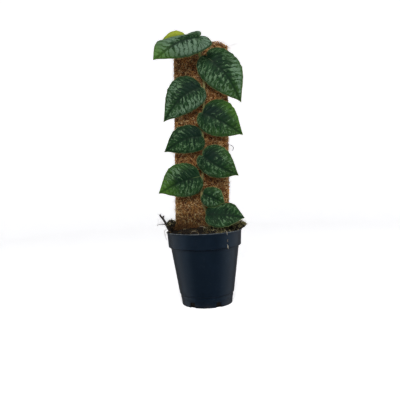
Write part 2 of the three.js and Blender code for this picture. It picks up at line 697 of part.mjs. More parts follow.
function makeLeaf(leaf) {
  const { steps, rings, thickness, veinSlant, quilt } = BLADE;
  const leftIsLow = Math.cos(radians(leaf.aim)) < 0;
  const left = halfOutline(leaf.length, leaf.left, leftIsLow ? OUTLINE.drawnIn : 0, steps);
  const right = halfOutline(leaf.length, leaf.right, leftIsLow ? 0 : OUTLINE.drawnIn, steps);

  // Side veins leave the midrib below the place on the margin that they run to.
  const starts = left.map((point, i) => {
    const a = point.x - veinSlant * point.y;
    const b = right[i].x - veinSlant * right[i].y;
    return THREE.MathUtils.clamp((a + b) / (2 * leaf.length), 0, 1);
  });
  starts[steps] = 1;

  // Points of the middle surface, shared where the halves meet along the midrib. Every other side line is
  // a sunken vein, and the blade swells between them.
  const points = [];
  const seen = new Map();
  const pointAt = (i, ring, side) => {
    const s = starts[i];
    const margin = side > 0 ? left[i] : right[i];
    const bow = leaf.bow * Math.sin(Math.PI * s) * (1 + 0.25 * Math.cos(Math.PI * s));
    const share = ring / rings;
    const reach = Math.max(0, margin.y - side * bow);
    const along = margin.x - s * leaf.length;
    const span = Math.min(1, Math.hypot(along, reach) / 8);
    const swell = quilt * span * Math.sin(Math.PI * share) * (i % 2 === 0 ? 1 : -1);
    const place = bladePoint(leaf, s, side, along * share, reach * share, share, swell);
    const key = place.toArray().map((value) => Math.round(value * 500)).join();
    if (!seen.has(key)) {
      seen.set(key, points.length);
      points.push(place);
    }
    return seen.get(key);
  };
  const faces = [];
  const margins = [];
  const addFace = (a, b, c) => {
    if (a !== b && b !== c && c !== a) faces.push([a, b, c]);
  };
  for (const side of [1, -1]) {
    for (let i = 0; i < steps; i += 1) {
      for (let ring = 0; ring < rings; ring += 1) {
        const corners = [
          pointAt(i, ring, side), pointAt(i + 1, ring, side),
          pointAt(i + 1, ring + 1, side), pointAt(i, ring + 1, side),
        ];
        if (side < 0) corners.reverse();
        addFace(corners[0], corners[1], corners[2]);
        addFace(corners[0], corners[2], corners[3]);
      }
      const edge = [pointAt(i, rings, side), pointAt(i + 1, rings, side)];
      margins.push(side > 0 ? edge : edge.reverse());
    }
  }

  // Both faces of the blade are the middle surface moved half the thickness each way.
  const normals = points.map(() => new THREE.Vector3());
  for (const [a, b, c] of faces) {
    const normal = points[b].clone().sub(points[a]).cross(points[c].clone().sub(points[a]));
    for (const k of [a, b, c]) normals[k].add(normal);
  }
  normals.forEach((normal) => normal.normalize());
  const upper = points.map((point, k) => point.clone().addScaledVector(normals[k], thickness / 2));
  const lower = points.map((point, k) => point.clone().addScaledVector(normals[k], -thickness / 2));
  const count = points.length;
  const triangles = [];
  for (const [a, b, c] of faces) {
    triangles.push([a, b, c]);
    triangles.push([a + count, c + count, b + count]);
  }
  for (const [a, b] of margins) {
    if (a !== b) {
      triangles.push([a, b + count, a + count]);
      triangles.push([a, b, b + count]);
    }
  }
  const blade = solidFromMesh([...upper, ...lower], triangles);

  // The stalk runs from the stem into the raised rib under the blade.
  const joint = leafJoint(leaf);
  const base = joint.centre.clone().addScaledVector(joint.out, STEM.node + GAP);
  const rib = PETIOLE.rib.map((s) => {
    const place = bladePoint(leaf, s, 1, 0, 0, 0);
    const radius = mix(PETIOLE.base, PETIOLE.tip, s);
    const { face } = leafAxes(leaf);
    return place.addScaledVector(face, -(thickness / 2) - radius * 0.3);
  });
  const stalk = [base, base.clone().addScaledVector(joint.out, 2.2), ...rib];
  const radiusAt = (t) => mix(PETIOLE.base, PETIOLE.tip, t);
  return joined([blade, tube(stalk, radiusAt, 11, PETIOLE.sides)]);
}

function makeStub() {
  const vectors = (list) => list.map((p) => new THREE.Vector3(...p));
  const { radii } = STUB;
  const radiusAt = (t) => {
    const place = t * (radii.length - 1);
    const low = Math.min(radii.length - 2, Math.floor(place));
    const knots = STUB.knots * Math.sin(place * 9);
    const swell = t < STUB.knotsFrom ? Math.min(0, knots) : knots;
    return mix(radii[low], radii[low + 1], place - low) * (1 + swell);
  };
  return joined([
    tube(vectors(STUB.route), radiusAt, 12, STUB.sides),
    tube(vectors(STUB.fork), (t) => mix(...STUB.forkRadii, t), 4, 5),
    tube(vectors(STUB.side), (t) => mix(...STUB.sideRadii, t), 5, 4),
  ]);
}

// A finished solid as a named piece with its own material, without the slivers that joins leave.
function piece(name, solid, colour, roughness) {
  const mesh = solid.simplify(SLIVER).getMesh();
  const geometry = new THREE.BufferGeometry();
  geometry.setAttribute('position', new THREE.BufferAttribute(new Float32Array(mesh.vertProperties), 3));
  geometry.setIndex(new THREE.BufferAttribute(new Uint32Array(mesh.triVerts), 1));
  geometry.computeVertexNormals();
  const material = new THREE.MeshStandardMaterial({ color: colour, roughness, metalness: 0 });
  const part = new THREE.Mesh(geometry, material);
  part.name = name;
  return part;
}

const plant = new THREE.Group();
plant.add(piece('pot', makePot(), COLOURS.pot, 0.45));
plant.add(piece('soil', makeSoil(), COLOURS.soil, 0.95));
plant.add(piece('old_root', makeStub(), COLOURS.stub, 0.9));

const climber = new THREE.Group();
climber.position.set(...BOARD.foot);
climber.rotation.y = radians(BOARD.lean);
climber.add(piece('coir_board', makeCoir(), COLOURS.coir, 0.95));
climber.add(piece('stake', makeStake(), COLOURS.stake, 0.8));
climber.add(piece('stem', makeStem(), COLOURS.stem, 0.6));
for (const leaf of LEAVES) {
  const young = leaf.name === 'young_leaf';
  climber.add(piece(leaf.name, makeLeaf(leaf), young ? COLOURS.young : COLOURS.leaf, 0.5));
}
plant.add(climber);

export default plant;
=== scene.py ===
# A shingling aroid that climbs a flat coir board, rooted in its nursery pot. Meshes are drawn in
# millimetres and scaled as they are made. Camera, lamps and the places that shaders read are in metres.
import math
from functools import reduce
from itertools import islice
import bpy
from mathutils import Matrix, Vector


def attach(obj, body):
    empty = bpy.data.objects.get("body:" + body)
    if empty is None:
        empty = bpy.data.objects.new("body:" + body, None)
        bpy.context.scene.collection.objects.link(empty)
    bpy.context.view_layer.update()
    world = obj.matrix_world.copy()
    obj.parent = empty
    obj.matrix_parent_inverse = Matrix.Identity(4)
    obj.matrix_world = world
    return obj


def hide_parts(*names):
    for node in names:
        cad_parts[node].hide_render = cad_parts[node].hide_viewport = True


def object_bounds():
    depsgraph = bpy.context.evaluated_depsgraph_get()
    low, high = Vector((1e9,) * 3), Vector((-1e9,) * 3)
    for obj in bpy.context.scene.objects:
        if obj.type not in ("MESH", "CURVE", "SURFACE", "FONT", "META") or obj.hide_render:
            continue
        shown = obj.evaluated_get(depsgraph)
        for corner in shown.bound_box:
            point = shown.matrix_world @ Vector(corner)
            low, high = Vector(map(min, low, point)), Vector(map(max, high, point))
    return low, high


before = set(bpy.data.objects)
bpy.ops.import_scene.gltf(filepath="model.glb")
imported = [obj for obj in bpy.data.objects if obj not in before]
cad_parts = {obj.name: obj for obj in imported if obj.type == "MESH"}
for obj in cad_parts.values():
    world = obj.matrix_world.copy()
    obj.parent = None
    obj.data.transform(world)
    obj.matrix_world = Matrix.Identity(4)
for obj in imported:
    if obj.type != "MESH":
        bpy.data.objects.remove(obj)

from types import SimpleNamespace as Sizes

import bmesh
import bpy
import numpy as np
from mathutils import Matrix, Vector, noise

cad_low, cad_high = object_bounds()

# Camera. It stands level before the pot, a little left of it, and is turned so that the plant leans left
# in the frame. The focal length and the place of the lens axis are in pixels of the square frame.
FRAME_PIXELS = 400
FOCAL_PIXELS = 457
LENS_AXIS = (199.1, 181.6)
CAMERA_AT = (-0.0045, -0.740, 0.195)
CAMERA_ROLL = 2.7
SENSOR = 36.0


def put(name, data):
    """A new object in the scene that holds some data."""
    made = bpy.data.objects.new(name, data)
    bpy.context.scene.collection.objects.link(made)
    return made


lens = bpy.data.cameras.new("camera")
lens.sensor_width = SENSOR
lens.lens = SENSOR * FOCAL_PIXELS / FRAME_PIXELS
lens.shift_x = 0.5 - LENS_AXIS[0] / FRAME_PIXELS
lens.shift_y = LENS_AXIS[1] / FRAME_PIXELS - 0.5
camera = put("camera", lens)
camera.location = CAMERA_AT
camera.rotation_euler = (math.radians(90), math.radians(CAMERA_ROLL), 0)
bpy.context.scene.camera = camera

# Studio. A white round cove runs from the floor up into a wall on all sides. A wide soft lamp hangs
# above and before the plant, and two weaker ones fill its sides.
MM = 0.001
WHITE = (1.0, 1.0, 1.0, 1.0)
COVE = Sizes(floor=1250, fillet=500, height=2300, sides=72, middle=60, glow=0.6)
PAPER = Sizes(white=(242, 242, 244), shade=(239, 239, 241))
# Each lamp: where it hangs, the side of its square and its watts.
LAMPS = {
    "key_lamp": ((-0.04, -1.02, 1.02), 0.36, 10.4),
    "left_lamp": ((-1.10, -0.20, 0.55), 0.6, 1.5),
    "right_lamp": ((1.10, -0.30, 0.55), 0.6, 3.5),
}
LAMPS_AIM = (0, 0, 0.22)
SKY = Sizes(strength=0.15, band=0.75, band_from=0.66, band_to=0.95)


def colour(red, green, blue):
    """A screen colour from 0 to 255 as the linear colour that a shader takes."""
    parts = [value / 255 for value in (red, green, blue)]
    linear = [part / 12.92 if part <= 0.04045 else ((part + 0.055) / 1.055) ** 2.4 for part in parts]
    return (*linear, 1.0)


def fill(made, inputs):
    """Links a socket or sets a value on each input of a shader node."""
    for name, value in inputs.items():
        if isinstance(value, bpy.types.NodeSocket):
            made.id_data.links.new(value, made.inputs[name])
        else:
            made.inputs[name].default_value = value
    return made


def node(kind, inputs, tree=None, **settings):
    """A shader node with its inputs and settings, in the tree of the first socket that it is given."""
    links = [value for value in inputs.values() if isinstance(value, bpy.types.NodeSocket)]
    made = (tree or links[0].id_data).nodes.new("ShaderNode" + kind)
    for name, value in settings.items():
        setattr(made, name, value)
    return fill(made, inputs)


def maths(operation, first, second=0.0, **settings):
    return node("Math", {0: first, 1: second}, operation=operation, **settings).outputs[0]


def times(first, second):
    return maths("MULTIPLY", first, second)


def step(value, low, high, out_low=0.0, out_high=1.0):
    """A smooth step from one value to another as the input goes from low to high."""
    inputs = {"Value": value, "From Min": low, "From Max": high, "To Min": out_low, "To Max": out_high}
    return node("MapRange", inputs, interpolation_type="SMOOTHSTEP").outputs[0]


def blend(factor, first, second, kind="MIX"):
    """One colour laid over another by a factor."""
    return node("Mix", {0: factor, 6: first, 7: second}, data_type="RGBA", blend_type=kind).outputs[2]


def two_tone(mask, first, second):
    """The first shade where a mask is 0, and the second where it is 1."""
    return blend(mask, colour(*first), colour(*second))


def axes(vector):
    return node("SeparateXYZ", {"Vector": vector}).outputs


def cloud(place, scale, detail=3.0, roughness=0.55):
    """Soft noise from 0 to 1. The scale is in lumps a metre."""
    inputs = {"Vector": place, "Scale": scale, "Detail": detail, "Roughness": roughness}
    return node("TexNoise", inputs).outputs["Fac"]


def feed(shader, **sockets):
    """Links a socket or sets a value on each named input of a shader."""
    fill(shader, {name.replace("_", " "): value for name, value in sockets.items()})


def material(name, **values):
    """A new material with values set on its shader. Returns it with its shader and its places."""
    made = bpy.data.materials.new(name)
    made.use_nodes = True
    shader = made.node_tree.nodes["Principled BSDF"]
    feed(shader, **values)
    return made, shader, node("TexCoord", {}, made.node_tree).outputs["Object"]


def mesh_piece(name, points, faces, materials, face_materials=None, tidy=False, sharp=None):
    """A smooth-shaded object at the origin with its mesh in place. The points are millimetres."""
    mesh = bpy.data.meshes.new(name)
    mesh.from_pydata((np.asarray(points, float) * MM).tolist(), [], [tuple(face) for face in faces])
    for each in materials:
        mesh.materials.append(each)
    if face_materials is not None:
        mesh.polygons.foreach_set("material_index", np.asarray(face_materials, np.int32))
    if tidy:
        work = bmesh.new()
        work.from_mesh(mesh)
        bmesh.ops.recalc_face_normals(work, faces=work.faces)
        work.to_mesh(mesh)
        work.free()
    mesh.polygons.foreach_set("use_smooth", np.ones(len(mesh.polygons), bool))
    if sharp is not None:
        mesh.set_sharp_from_angle(angle=math.radians(sharp))
    mesh.update()
    return put(name, mesh)


def skin(rings, ends=True):
    """Points and faces of a skin over rings of points, with a fan over each end."""
    rings = np.asarray(rings, float)
    rows, count, _ = rings.shape
    points = rings.reshape(-1, 3)
    faces = []
    for row in range(rows - 1):
        for k in range(count):
            a, b = row * count + k, row * count + (k + 1) % count
            faces.append((a, b, b + count, a + count))
    if ends:
        points = np.vstack([points, rings[0].mean(0), rings[-1].mean(0)])
        first, last, top = rows * count, rows * count + 1, (rows - 1) * count
        for k in range(count):
            after = (k + 1) % count
            faces.append((first, after, k))
            faces.append((last, top + k, top + after))
    return points, faces


def turned(profile, sides):
    """Rings of points for a profile of radius and height pairs turned round the upright axis."""
    turn = np.linspace(0, 2 * math.pi, sides, endpoint=False)
    return [[(r * math.cos(a), r * math.sin(a), z) for a in turn] for r, z in profile]


bpy.context.scene.view_settings.view_transform = "Standard"
paper, shader, place = material("cove_paper", Roughness=0.9, Emission_Color=WHITE)
seen = node("LightPath", {}, paper.node_tree).outputs["Is Camera Ray"]
feed(shader, Base_Color=two_tone(cloud(place, 3.0, 2.0), PAPER.white, PAPER.shade),
     Emission_Strength=times(seen, COVE.glow))

cove_profile = [(COVE.middle, 0), (COVE.floor * 0.5, 0)]
for bend in np.linspace(0, math.pi / 2, 13):
    cove_profile.append((COVE.floor + COVE.fillet * math.sin(bend), COVE.fillet * (1 - math.cos(bend))))
cove_profile.append((COVE.floor + COVE.fillet, COVE.height))
cove_points, cove_faces = skin(turned(cove_profile, COVE.sides), ends=False)
cove_points = np.vstack([cove_points, (0, 0, 0)])
cove_faces += [(k, len(cove_points) - 1, (k + 1) % COVE.sides) for k in range(COVE.sides)]
cove = mesh_piece("cove", cove_points, cove_faces, [paper])
cove.visible_glossy = False

# The sky is dim and even, with a bright band at either side that glossy plastic mirrors.
world = bpy.data.worlds.new("sky")
world.use_nodes = True
sideways = axes(node("TexCoord", {}, world.node_tree).outputs["Generated"])["X"]
band = step(maths("ABSOLUTE", sideways), SKY.band_from, SKY.band_to, SKY.strength, SKY.band)
feed(world.node_tree.nodes["Background"], Strength=band, Color=WHITE)
bpy.context.scene.world = world
for name, (hung_at, side, watts) in LAMPS.items():
    area = bpy.data.lights.new(name, "AREA")
    area.shape = "RECTANGLE"
    area.size = area.size_y = side
    area.energy = watts
    lamp = put(name, area)
    lamp.location = hung_at
    lamp.rotation_euler = (Vector(LAMPS_AIM) - lamp.location).to_track_quat("-Z", "Y").to_euler()

# Pot. A thin nursery pot, moulded in one piece of dark slate-blue plastic: a deep collar over a
# tapered body, a rolled lip, a stepped foot, and drain slots cut through the foot's corner.
POT = Sizes(
    height=116.5, rim=60, lip=0.7, collar_bottom=92, collar=58.4, shoulder=54.8,
    foot_top=17.5, foot_top_radius=43.8, ring=10.5, foot=42, base=40.6, wall=1.2, hub=6,
    sides=160, corner=0.9, longest=4, sharp=38, soiled=9,
)
DRAIN = Sizes(count=6, width=9, height=8.5, depth=6, first=-65, corner=1.4)
PLASTIC = Sizes(
    body=(10, 21, 33), light=(12, 23, 36), bloom=(18, 31, 44), scuff=(84, 94, 106),
    dust=(132, 138, 138), soil=(52, 44, 36), tint=(0.55, 0.78, 1.0, 1.0),
)


def minus(first, second):
    return maths("SUBTRACT", first, second)


def plus(*values, clamp=False):
    return reduce(lambda first, second: maths("ADD", first, second, use_clamp=clamp), values)


def over(tone, *layers):
    """A tone with shades laid over it, each where its mask says and by at most a share."""
    for shade, mask, most in layers:
        tone = blend(mask if most == 1 else times(mask, most), tone, colour(*shade))
    return tone


def streaked(place, scales, detail):
    """Soft noise drawn out into streaks, with a scale for each axis."""
    return cloud(node("Mapping", {"Vector": place, "Scale": scales}).outputs[0], 1.0, detail)


def group(name, inputs, outputs, make):
    """A shader node group. Place is a vector, all else is a number, and make gives the outputs."""
    tree = bpy.data.node_groups.new(name, "ShaderNodeTree")
    for direction, sockets in (("INPUT", inputs), ("OUTPUT", outputs)):
        for socket in sockets:
            kind = "NodeSocketVector" if socket == "Place" else "NodeSocketFloat"
            tree.interface.new_socket(name=socket, in_out=direction, socket_type=kind)
    given = tree.nodes.new("NodeGroupInput")
    fill(tree.nodes.new("NodeGroupOutput"), make(given.outputs))
    return tree


def use(made_group, inputs):
    return node("Group", inputs, node_tree=made_group).outputs


def bump(shader, height, distance):
    """Relief on the shader's normal, its distance in millimetres."""
    inputs = {"Height": height, "Distance": distance * MM, "Strength": 1.0}
    feed(shader, Normal=node("Bump", inputs).outputs[0])


def worn(given):
    """Soft bloom, thin scratches, specks and fine grain on plastic, wood or skin."""
    place = given["Place"]
    off_middle = maths("ABSOLUTE", minus(streaked(place, (240.0, 240.0, 1500.0), 2.0), 0.5))
    patch = step(cloud(place, 60.0, 2.0), 0.55, 0.70)
    return {
        "Bloom": step(cloud(place, 22.0, 4.0, 0.6), 0.40, 0.72),
        "Scratch": times(step(off_middle, 0.012, 0.0), patch),
        "Specks": step(cloud(place, 700.0, 1.0), 0.70, 0.76),
        "Grain": cloud(place, 1500.0, 2.0),
    }


wear = group("Wear", ["Place"], ["Bloom", "Scratch", "Specks", "Grain"], worn)

plastic, shader, place = material("pot_plastic", Specular_IOR_Level=0.3, Specular_Tint=PLASTIC.tint)
marks = use(wear, {"Place": place})
height = axes(place)["Z"]
streaks = streaked(place, (60.0, 60.0, 4.0), 3.0)
# A pale line along the top of the lip: partly dust and partly a painted highlight.
lip_dust_and_highlight = step(height, (POT.height - 1.2) * MM, (POT.height - 0.3) * MM)
lip_dust_and_highlight = times(lip_dust_and_highlight, step(cloud(place, 330.0, 3.0), 0.42, 0.6, 0.2, 1.0))
foot_soil = times(step(height, POT.soiled * MM, 0.0), step(cloud(place, 160.0, 5.0), 0.42, 0.62))
tone = over(
    two_tone(step(streaks, 0.25, 0.8), PLASTIC.body, PLASTIC.light),
    (PLASTIC.bloom, marks["Bloom"], 0.2), (PLASTIC.scuff, marks["Scratch"], 0.5),
    (PLASTIC.scuff, marks["Specks"], 0.22), (PLASTIC.dust, lip_dust_and_highlight, 0.7), (PLASTIC.soil, foot_soil, 0.5),
)
dull = plus(step(streaks, 0.2, 0.8, 0.27, 0.3), times(marks["Bloom"], 0.03), times(lip_dust_and_highlight, 0.2))
feed(shader, Base_Color=tone, Roughness=dull)
bump(shader, plus(marks["Grain"], streaks), 0.04)


def rounded(profile, radius, steps=4):
    """The profile with a small arc in place of each corner but its two ends."""
    made = [profile[0]]
    for before, corner, after in zip(profile, profile[1:], profile[2:]):
        corner = np.array(corner, float)
        arms = [np.array(point, float) - corner for point in (before, after)]
        reach = [min(radius, np.hypot(*arm) * 0.45) for arm in arms]
        first, last = [corner + arm / np.hypot(*arm) * r for arm, r in zip(arms, reach)]
        for t in np.arange(steps + 1) / steps:
            made.append(tuple((1 - t) ** 2 * first + 2 * t * (1 - t) * corner + t * t * last))
    return [*made, profile[-1]]


def stepped(profile, most):
    """The profile with points added, so that none is further than most from the next."""
    made = [profile[0]]
    for first, last in zip(profile, profile[1:]):
        count = max(1, math.ceil(math.dist(first, last) / most))
        for k in range(1, count + 1):
            made.append(tuple(np.array(first) + (np.array(last) - np.array(first)) * k / count))
    return made


def pot_inside(gap):
    """The pot's inner wall from its floor to its rim, as radius and height, moved in by a gap."""
    thick = POT.wall + gap
    return [
        (POT.base - 0.9 - gap, thick), (POT.foot - thick, POT.ring),
        (POT.foot_top_radius - thick, POT.foot_top + 1),
        (POT.shoulder - thick, POT.collar_bottom - 1.6 + gap),
        (POT.collar - thick, POT.collar_bottom + 0.4 + gap), (POT.rim - thick, POT.height - 1),
    ]


pot_outside = [
    (POT.base - 12, 0), (POT.base - 11, 0.5), (POT.base - 4, 0.5), (POT.base - 3, 0), (POT.base, 0),
    (POT.foot - 0.5, POT.ring - 0.6), (POT.foot, POT.ring), (POT.foot + 0.5, POT.foot_top - 0.8),
    (POT.foot_top_radius, POT.foot_top), (POT.shoulder - 0.1, POT.collar_bottom - 1.8),
    (POT.shoulder, POT.collar_bottom - 0.6), (POT.collar - 0.5, POT.collar_bottom),
    (POT.collar, POT.collar_bottom + 0.9), (POT.rim - 0.2, POT.height - 2.2),
    (POT.rim + POT.lip, POT.height - 1.7), (POT.rim + POT.lip, POT.height - 0.3),
    (POT.rim + 0.1, POT.height), (POT.rim - POT.wall + 0.4, POT.height),
]
pot_profile = [(POT.hub, 0), *pot_outside, *reversed(pot_inside(0)), (POT.hub, POT.wall)]
pot_profile = stepped(rounded(pot_profile, POT.corner), POT.longest)
pot = mesh_piece("pot", *skin(turned(pot_profile, POT.sides)), [plastic], tidy=True)

slots = bmesh.new()
slot_size = Matrix.Diagonal((DRAIN.depth * MM, DRAIN.width * MM, DRAIN.height * 2 * MM, 1))
slot_size = Matrix.Translation((POT.base * MM, 0, 0)) @ slot_size
for k in range(DRAIN.count):
    turn = Matrix.Rotation(math.radians(DRAIN.first + k * 360 / DRAIN.count), 4, "Z")
    bmesh.ops.create_cube(slots, size=1, matrix=turn @ slot_size)
bmesh.ops.bevel(slots, geom=slots.edges[:], affect="EDGES", offset=DRAIN.corner * MM, segments=4,
                profile=0.5)
slot_mesh = bpy.data.meshes.new("drain_slots")
slots.to_mesh(slot_mesh)
slots.free()
slot_tool = put("drain_slots", slot_mesh)
slot_cut = pot.modifiers.new("drains", "BOOLEAN")
slot_cut.operation = "DIFFERENCE"
slot_cut.solver = "EXACT"
slot_cut.object = slot_tool
pot_mesh = bpy.data.meshes.new_from_object(pot.evaluated_get(bpy.context.evaluated_depsgraph_get()))
pot.modifiers.clear()
pot.data = pot_mesh
bpy.data.objects.remove(slot_tool)
bpy.data.meshes.remove(slot_mesh)
pot.data.set_sharp_from_angle(angle=math.radians(POT.sharp))
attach(pot, "root")
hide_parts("pot")

# Soil. Dark potting mix fills the pot and rises in a lumpy mound to the board. Crumbs, bark chips, pale
# grit and short fibres lie on it, a clod stands at the left, and a mossy bank hangs over the rim.
SOIL = Sizes(edge=112.8, crown=121, lump=1.9, rings=46, sides=132, gap=0.3)
# Each lump: its middle, its radius, and how many crumbs and moss shoots it carries. The first two make
# the clod, and the others the bank.
LUMPS = [
    ((-52, -6, 128), 7.6, 420, 120), ((-50, -3, 120.5), 7.6, 260, 60), ((32, -28, 116), 5.6, 90, 60),
    ((42, -21, 118), 6.8, 150, 180), ((51, -14, 120.2), 7.4, 190, 300), ((57, -10, 122.4), 6.2, 190, 360),
    ((63, -8, 122.8), 3.8, 100, 240),
]
CLOD_LUMPS = 2
LUMP_TONES = Sizes(clod=0.12, bank=0.4, knobs=(0.06, 0.5))
KNOBS = Sizes(count=24, share=(0.2, 0.4))
CHIPS = Sizes(count=36, size=(2.2, 5.2), seed=71, passed=10, each=8)
CHIP_RULE = Sizes(factor=1664525, added=1013904223, below=2 ** 32)
CRUMBS = Sizes(
    count=2100, size=(0.45, 1.7), pale_share=0.05, pale=0.97, sharp=40, seed=5,
    size_on_lumps=(0.4, 1.4), out_on_lumps=0.97,
)
LITTER = Sizes(count=420, length=(4, 13), radius=(0.10, 0.22), rows=8, curl=0.35, seed=8)
MOSS = Sizes(
    length=(2, 5.5), radius=(0.10, 0.22), rows=4, seed=12, strewn=120, middle=(20, -42), spread=(16, 6),
    short_past=60, short=0.55, out_on_lumps=0.85,
)
SOIL_SHADES = [
    (0.0, (10, 8, 6)), (0.35, (22, 17, 12)), (0.6, (42, 33, 22)), (0.85, (90, 76, 52)),
    (1.0, (190, 176, 142)),
]
STRAW_SHADES = [(0.0, (34, 25, 16)), (0.5, (86, 66, 38)), (0.8, (150, 128, 80)), (1.0, (206, 194, 156))]
MOSS_SHADES = [(0.0, (34, 29, 17)), (0.5, (112, 108, 60)), (1.0, (206, 198, 142))]


def speckle(x, y):
    """A fixed random number between 0 and 1 for each place."""
    value = np.sin(x * 12.9898 + y * 78.233) * 43758.5453
    return value - np.floor(value)


def lumpy(x, y, scale):
    """Sums of waves at unlike lengths, between about -1 and 1, for lumpy ground."""
    a = np.sin(x * 1.31 * scale + np.sin(y * 0.83 * scale) * 1.7)
    b = np.sin(y * 1.57 * scale + np.sin(x * 1.13 * scale + 2.1) * 1.9)
    return (a + b + np.sin((x * 2.3 - y * 1.9) * scale + 0.7)) / 3


def soil_top(x, y):
    far = np.minimum(1, np.hypot(x, y) / (POT.rim - POT.wall))
    rough = 0.7 * lumpy(x, y, 0.22) + 0.35 * lumpy(x, y, 0.9) + 0.2 * lumpy(x, y, 2.3)
    return SOIL.edge + (SOIL.crown - SOIL.edge) * (1 - far ** 3) + SOIL.lump * rough


def round_spot(turn, out):
    """The places at some turns round the pot's axis and distances out from it."""
    return out * np.cos(turn), out * np.sin(turn)


def random_turns(random, count):
    """Random rotation matrices, one for each loose bit."""
    quaternions = random.normal(size=(count, 4))
    w, x, y, z = (quaternions / np.linalg.norm(quaternions, axis=1)[:, None]).T
    rows = [
        [1 - 2 * (y * y + z * z), 2 * (x * y - w * z), 2 * (x * z + w * y)],
        [2 * (x * y + w * z), 1 - 2 * (x * x + z * z), 2 * (y * z - w * x)],
        [2 * (x * z - w * y), 2 * (y * z + w * x), 1 - 2 * (x * x + y * y)],
    ]
    return np.array(rows).transpose(2, 0, 1)


def random_ways(random, count, upward=False):
    """Random directions of length 1, or only those that don't point down."""
    ways = random.normal(size=(count, 3))
    if upward:
        ways[:, 2] = np.abs(ways[:, 2])
    return ways / np.linalg.norm(ways, axis=1)[:, None]


def repeated(points, faces):
    """Like meshes as one heap: all points, all faces, and the number of points in each."""
    count, size, _ = points.shape
    faces = np.asarray(faces)[None] + (np.arange(count) * size)[:, None, None]
    return points.reshape(-1, 3), faces.reshape(-1, 3), np.full(count, size)


def heaped(*heaps):
    """Several heaps as one."""
    points, faces, sizes = zip(*heaps)
    starts = np.cumsum([0, *[len(some) for some in points]])
    faces = [some + start for some, start in zip(faces, starts)]
    return np.vstack(points), np.vstack(faces), np.concatenate(sizes)


def bits(centres, sizes, flat, rough, divisions, random):
    """A heap of rough bits, each a ball of triangles that is stretched, knocked and turned at random."""
    work = bmesh.new()
    bmesh.ops.create_icosphere(work, subdivisions=divisions, radius=1)
    ball = np.array([vertex.co for vertex in work.verts])
    faces = [[vertex.index for vertex in face.verts] for face in work.faces]
    work.free()
    count = len(centres)
    stretch = random.uniform(*flat, (count, 1, 3)) * np.asarray(sizes)[:, None, None]
    knock = 1 + rough * random.uniform(-1, 1, (count, len(ball), 1))
    points = np.einsum("nij,nkj->nki", random_turns(random, count), ball[None] * knock * stretch)
    return repeated(points + np.asarray(centres)[:, None], faces)


def strands(paths, radii, side_way):
    """A heap of thin three-sided strands along rows of points, closed at their ends."""
    paths = np.asarray(paths, float)
    rows = paths.shape[1]
    along = np.gradient(paths, axis=1)
    along /= np.linalg.norm(along, axis=2, keepdims=True) + 1e-9
    first = np.cross(along, side_way)
    first /= np.linalg.norm(first, axis=2, keepdims=True) + 1e-9
    second = np.cross(along, first)
    taper = 1 - 0.55 * np.abs(np.linspace(-1, 1, rows)) ** 3
    thick = (np.asarray(radii)[:, None] * taper)[:, :, None, None]
    turn = np.arange(3) * 2 * math.pi / 3
    around = first[:, :, None] * np.cos(turn)[:, None] + second[:, :, None] * np.sin(turn)[:, None]
    points = paths[:, :, None] + around * thick
    faces = []
    for row in range(rows - 1):
        for k in range(3):
            a, b = row * 3 + k, row * 3 + (k + 1) % 3
            faces += [(a, b, b + 3), (a, b + 3, a + 3)]
    top = (rows - 1) * 3
    faces += [(2, 1, 0), (top, top + 1, top + 2)]
    return repeated(points.reshape(len(paths), -1, 3), faces)


def sprouts(roots, ways, bends, lengths, rows):
    """Paths that leave their roots along a way and bend off it, more and more towards their ends."""
    grow = np.linspace(0, 1, rows)[None, :, None]
    return roots[:, None] + (ways * grow + bends * grow ** 2) * lengths


def wander(random, start, heading, length, rows, curl):
    """Flat paths that start at points and bend at random: rows of first and second coordinates."""
    curl = np.broadcast_to(curl, len(start))[:, None]
    turn = heading[:, None] + np.cumsum(curl * random.normal(0, 1, (len(start), rows)), axis=1)
    turn += curl * random.normal(0, 0.8, (len(start), 1)) * np.linspace(-1, 1, rows)
    pace = (length / (rows - 1))[:, None]
    moves = np.stack([np.cos(turn), np.sin(turn)], 2) * pace[:, :, None]
    return np.asarray(start)[:, None] + np.cumsum(moves, axis=1) - moves[:, :1]


def paint(piece, name, values):
    """A number for each point of the piece, which its material reads by name."""
    made = piece.data.attributes.new(name, "FLOAT", "POINT")
    made.data.foreach_set("value", np.asarray(values, np.float32))


def heap_piece(name, heap, finish, tones, **settings):
    """A piece made of a heap, each bit or strand with its own tone."""
    points, faces, sizes = heap
    piece = mesh_piece(name, points, faces, [finish], **settings)
    paint(piece, "tone", np.repeat(tones, sizes))
    return piece


def matted(given):
    """Fine fibre and crumb texture: a mottle for colour and a height for relief."""
    place = given["Place"]
    cells = node("TexVoronoi", {"Vector": place, "Scale": 420.0, "Randomness": 1.0}).outputs["Distance"]
    both = plus(times(cloud(place, 170.0, 5.0, 0.65), 0.6), times(cloud(place, 900.0, 4.0, 0.7), 0.4))
    return {"Mottle": both, "Height": plus(both, times(cells, 0.8))}


mat = group("Matted fibre", ["Place"], ["Mottle", "Height"], matted)


def carried(place, name):
    """A number that the points of the piece carry, in the tree of the given places."""
    return node("Attribute", {}, place.id_data, attribute_name=name).outputs["Fac"]


def toned(name, shades, relief, roughness):
    """A rough finish whose shade goes through a list of colours by each bit's own tone and a mottle."""
    made, shader, place = material(name, Specular_IOR_Level=0.3)
    texture = use(mat, {"Place": place})
    mottled = times(minus(texture["Mottle"], 0.5), 0.5)
    ramp = node("ValToRGB", {"Fac": plus(carried(place, "tone"), mottled, clamp=True)})
    while len(ramp.color_ramp.elements) < len(shades):
        ramp.color_ramp.elements.new(0.5)
    for element, (position, shade) in zip(ramp.color_ramp.elements, shades):
        element.position = position
        element.color = colour(*shade)
    feed(shader, Base_Color=ramp.outputs["Color"],
         Roughness=step(texture["Mottle"], 0.3, 0.7, roughness - 0.1, roughness))
    bump(shader, texture["Height"], relief)
    return made


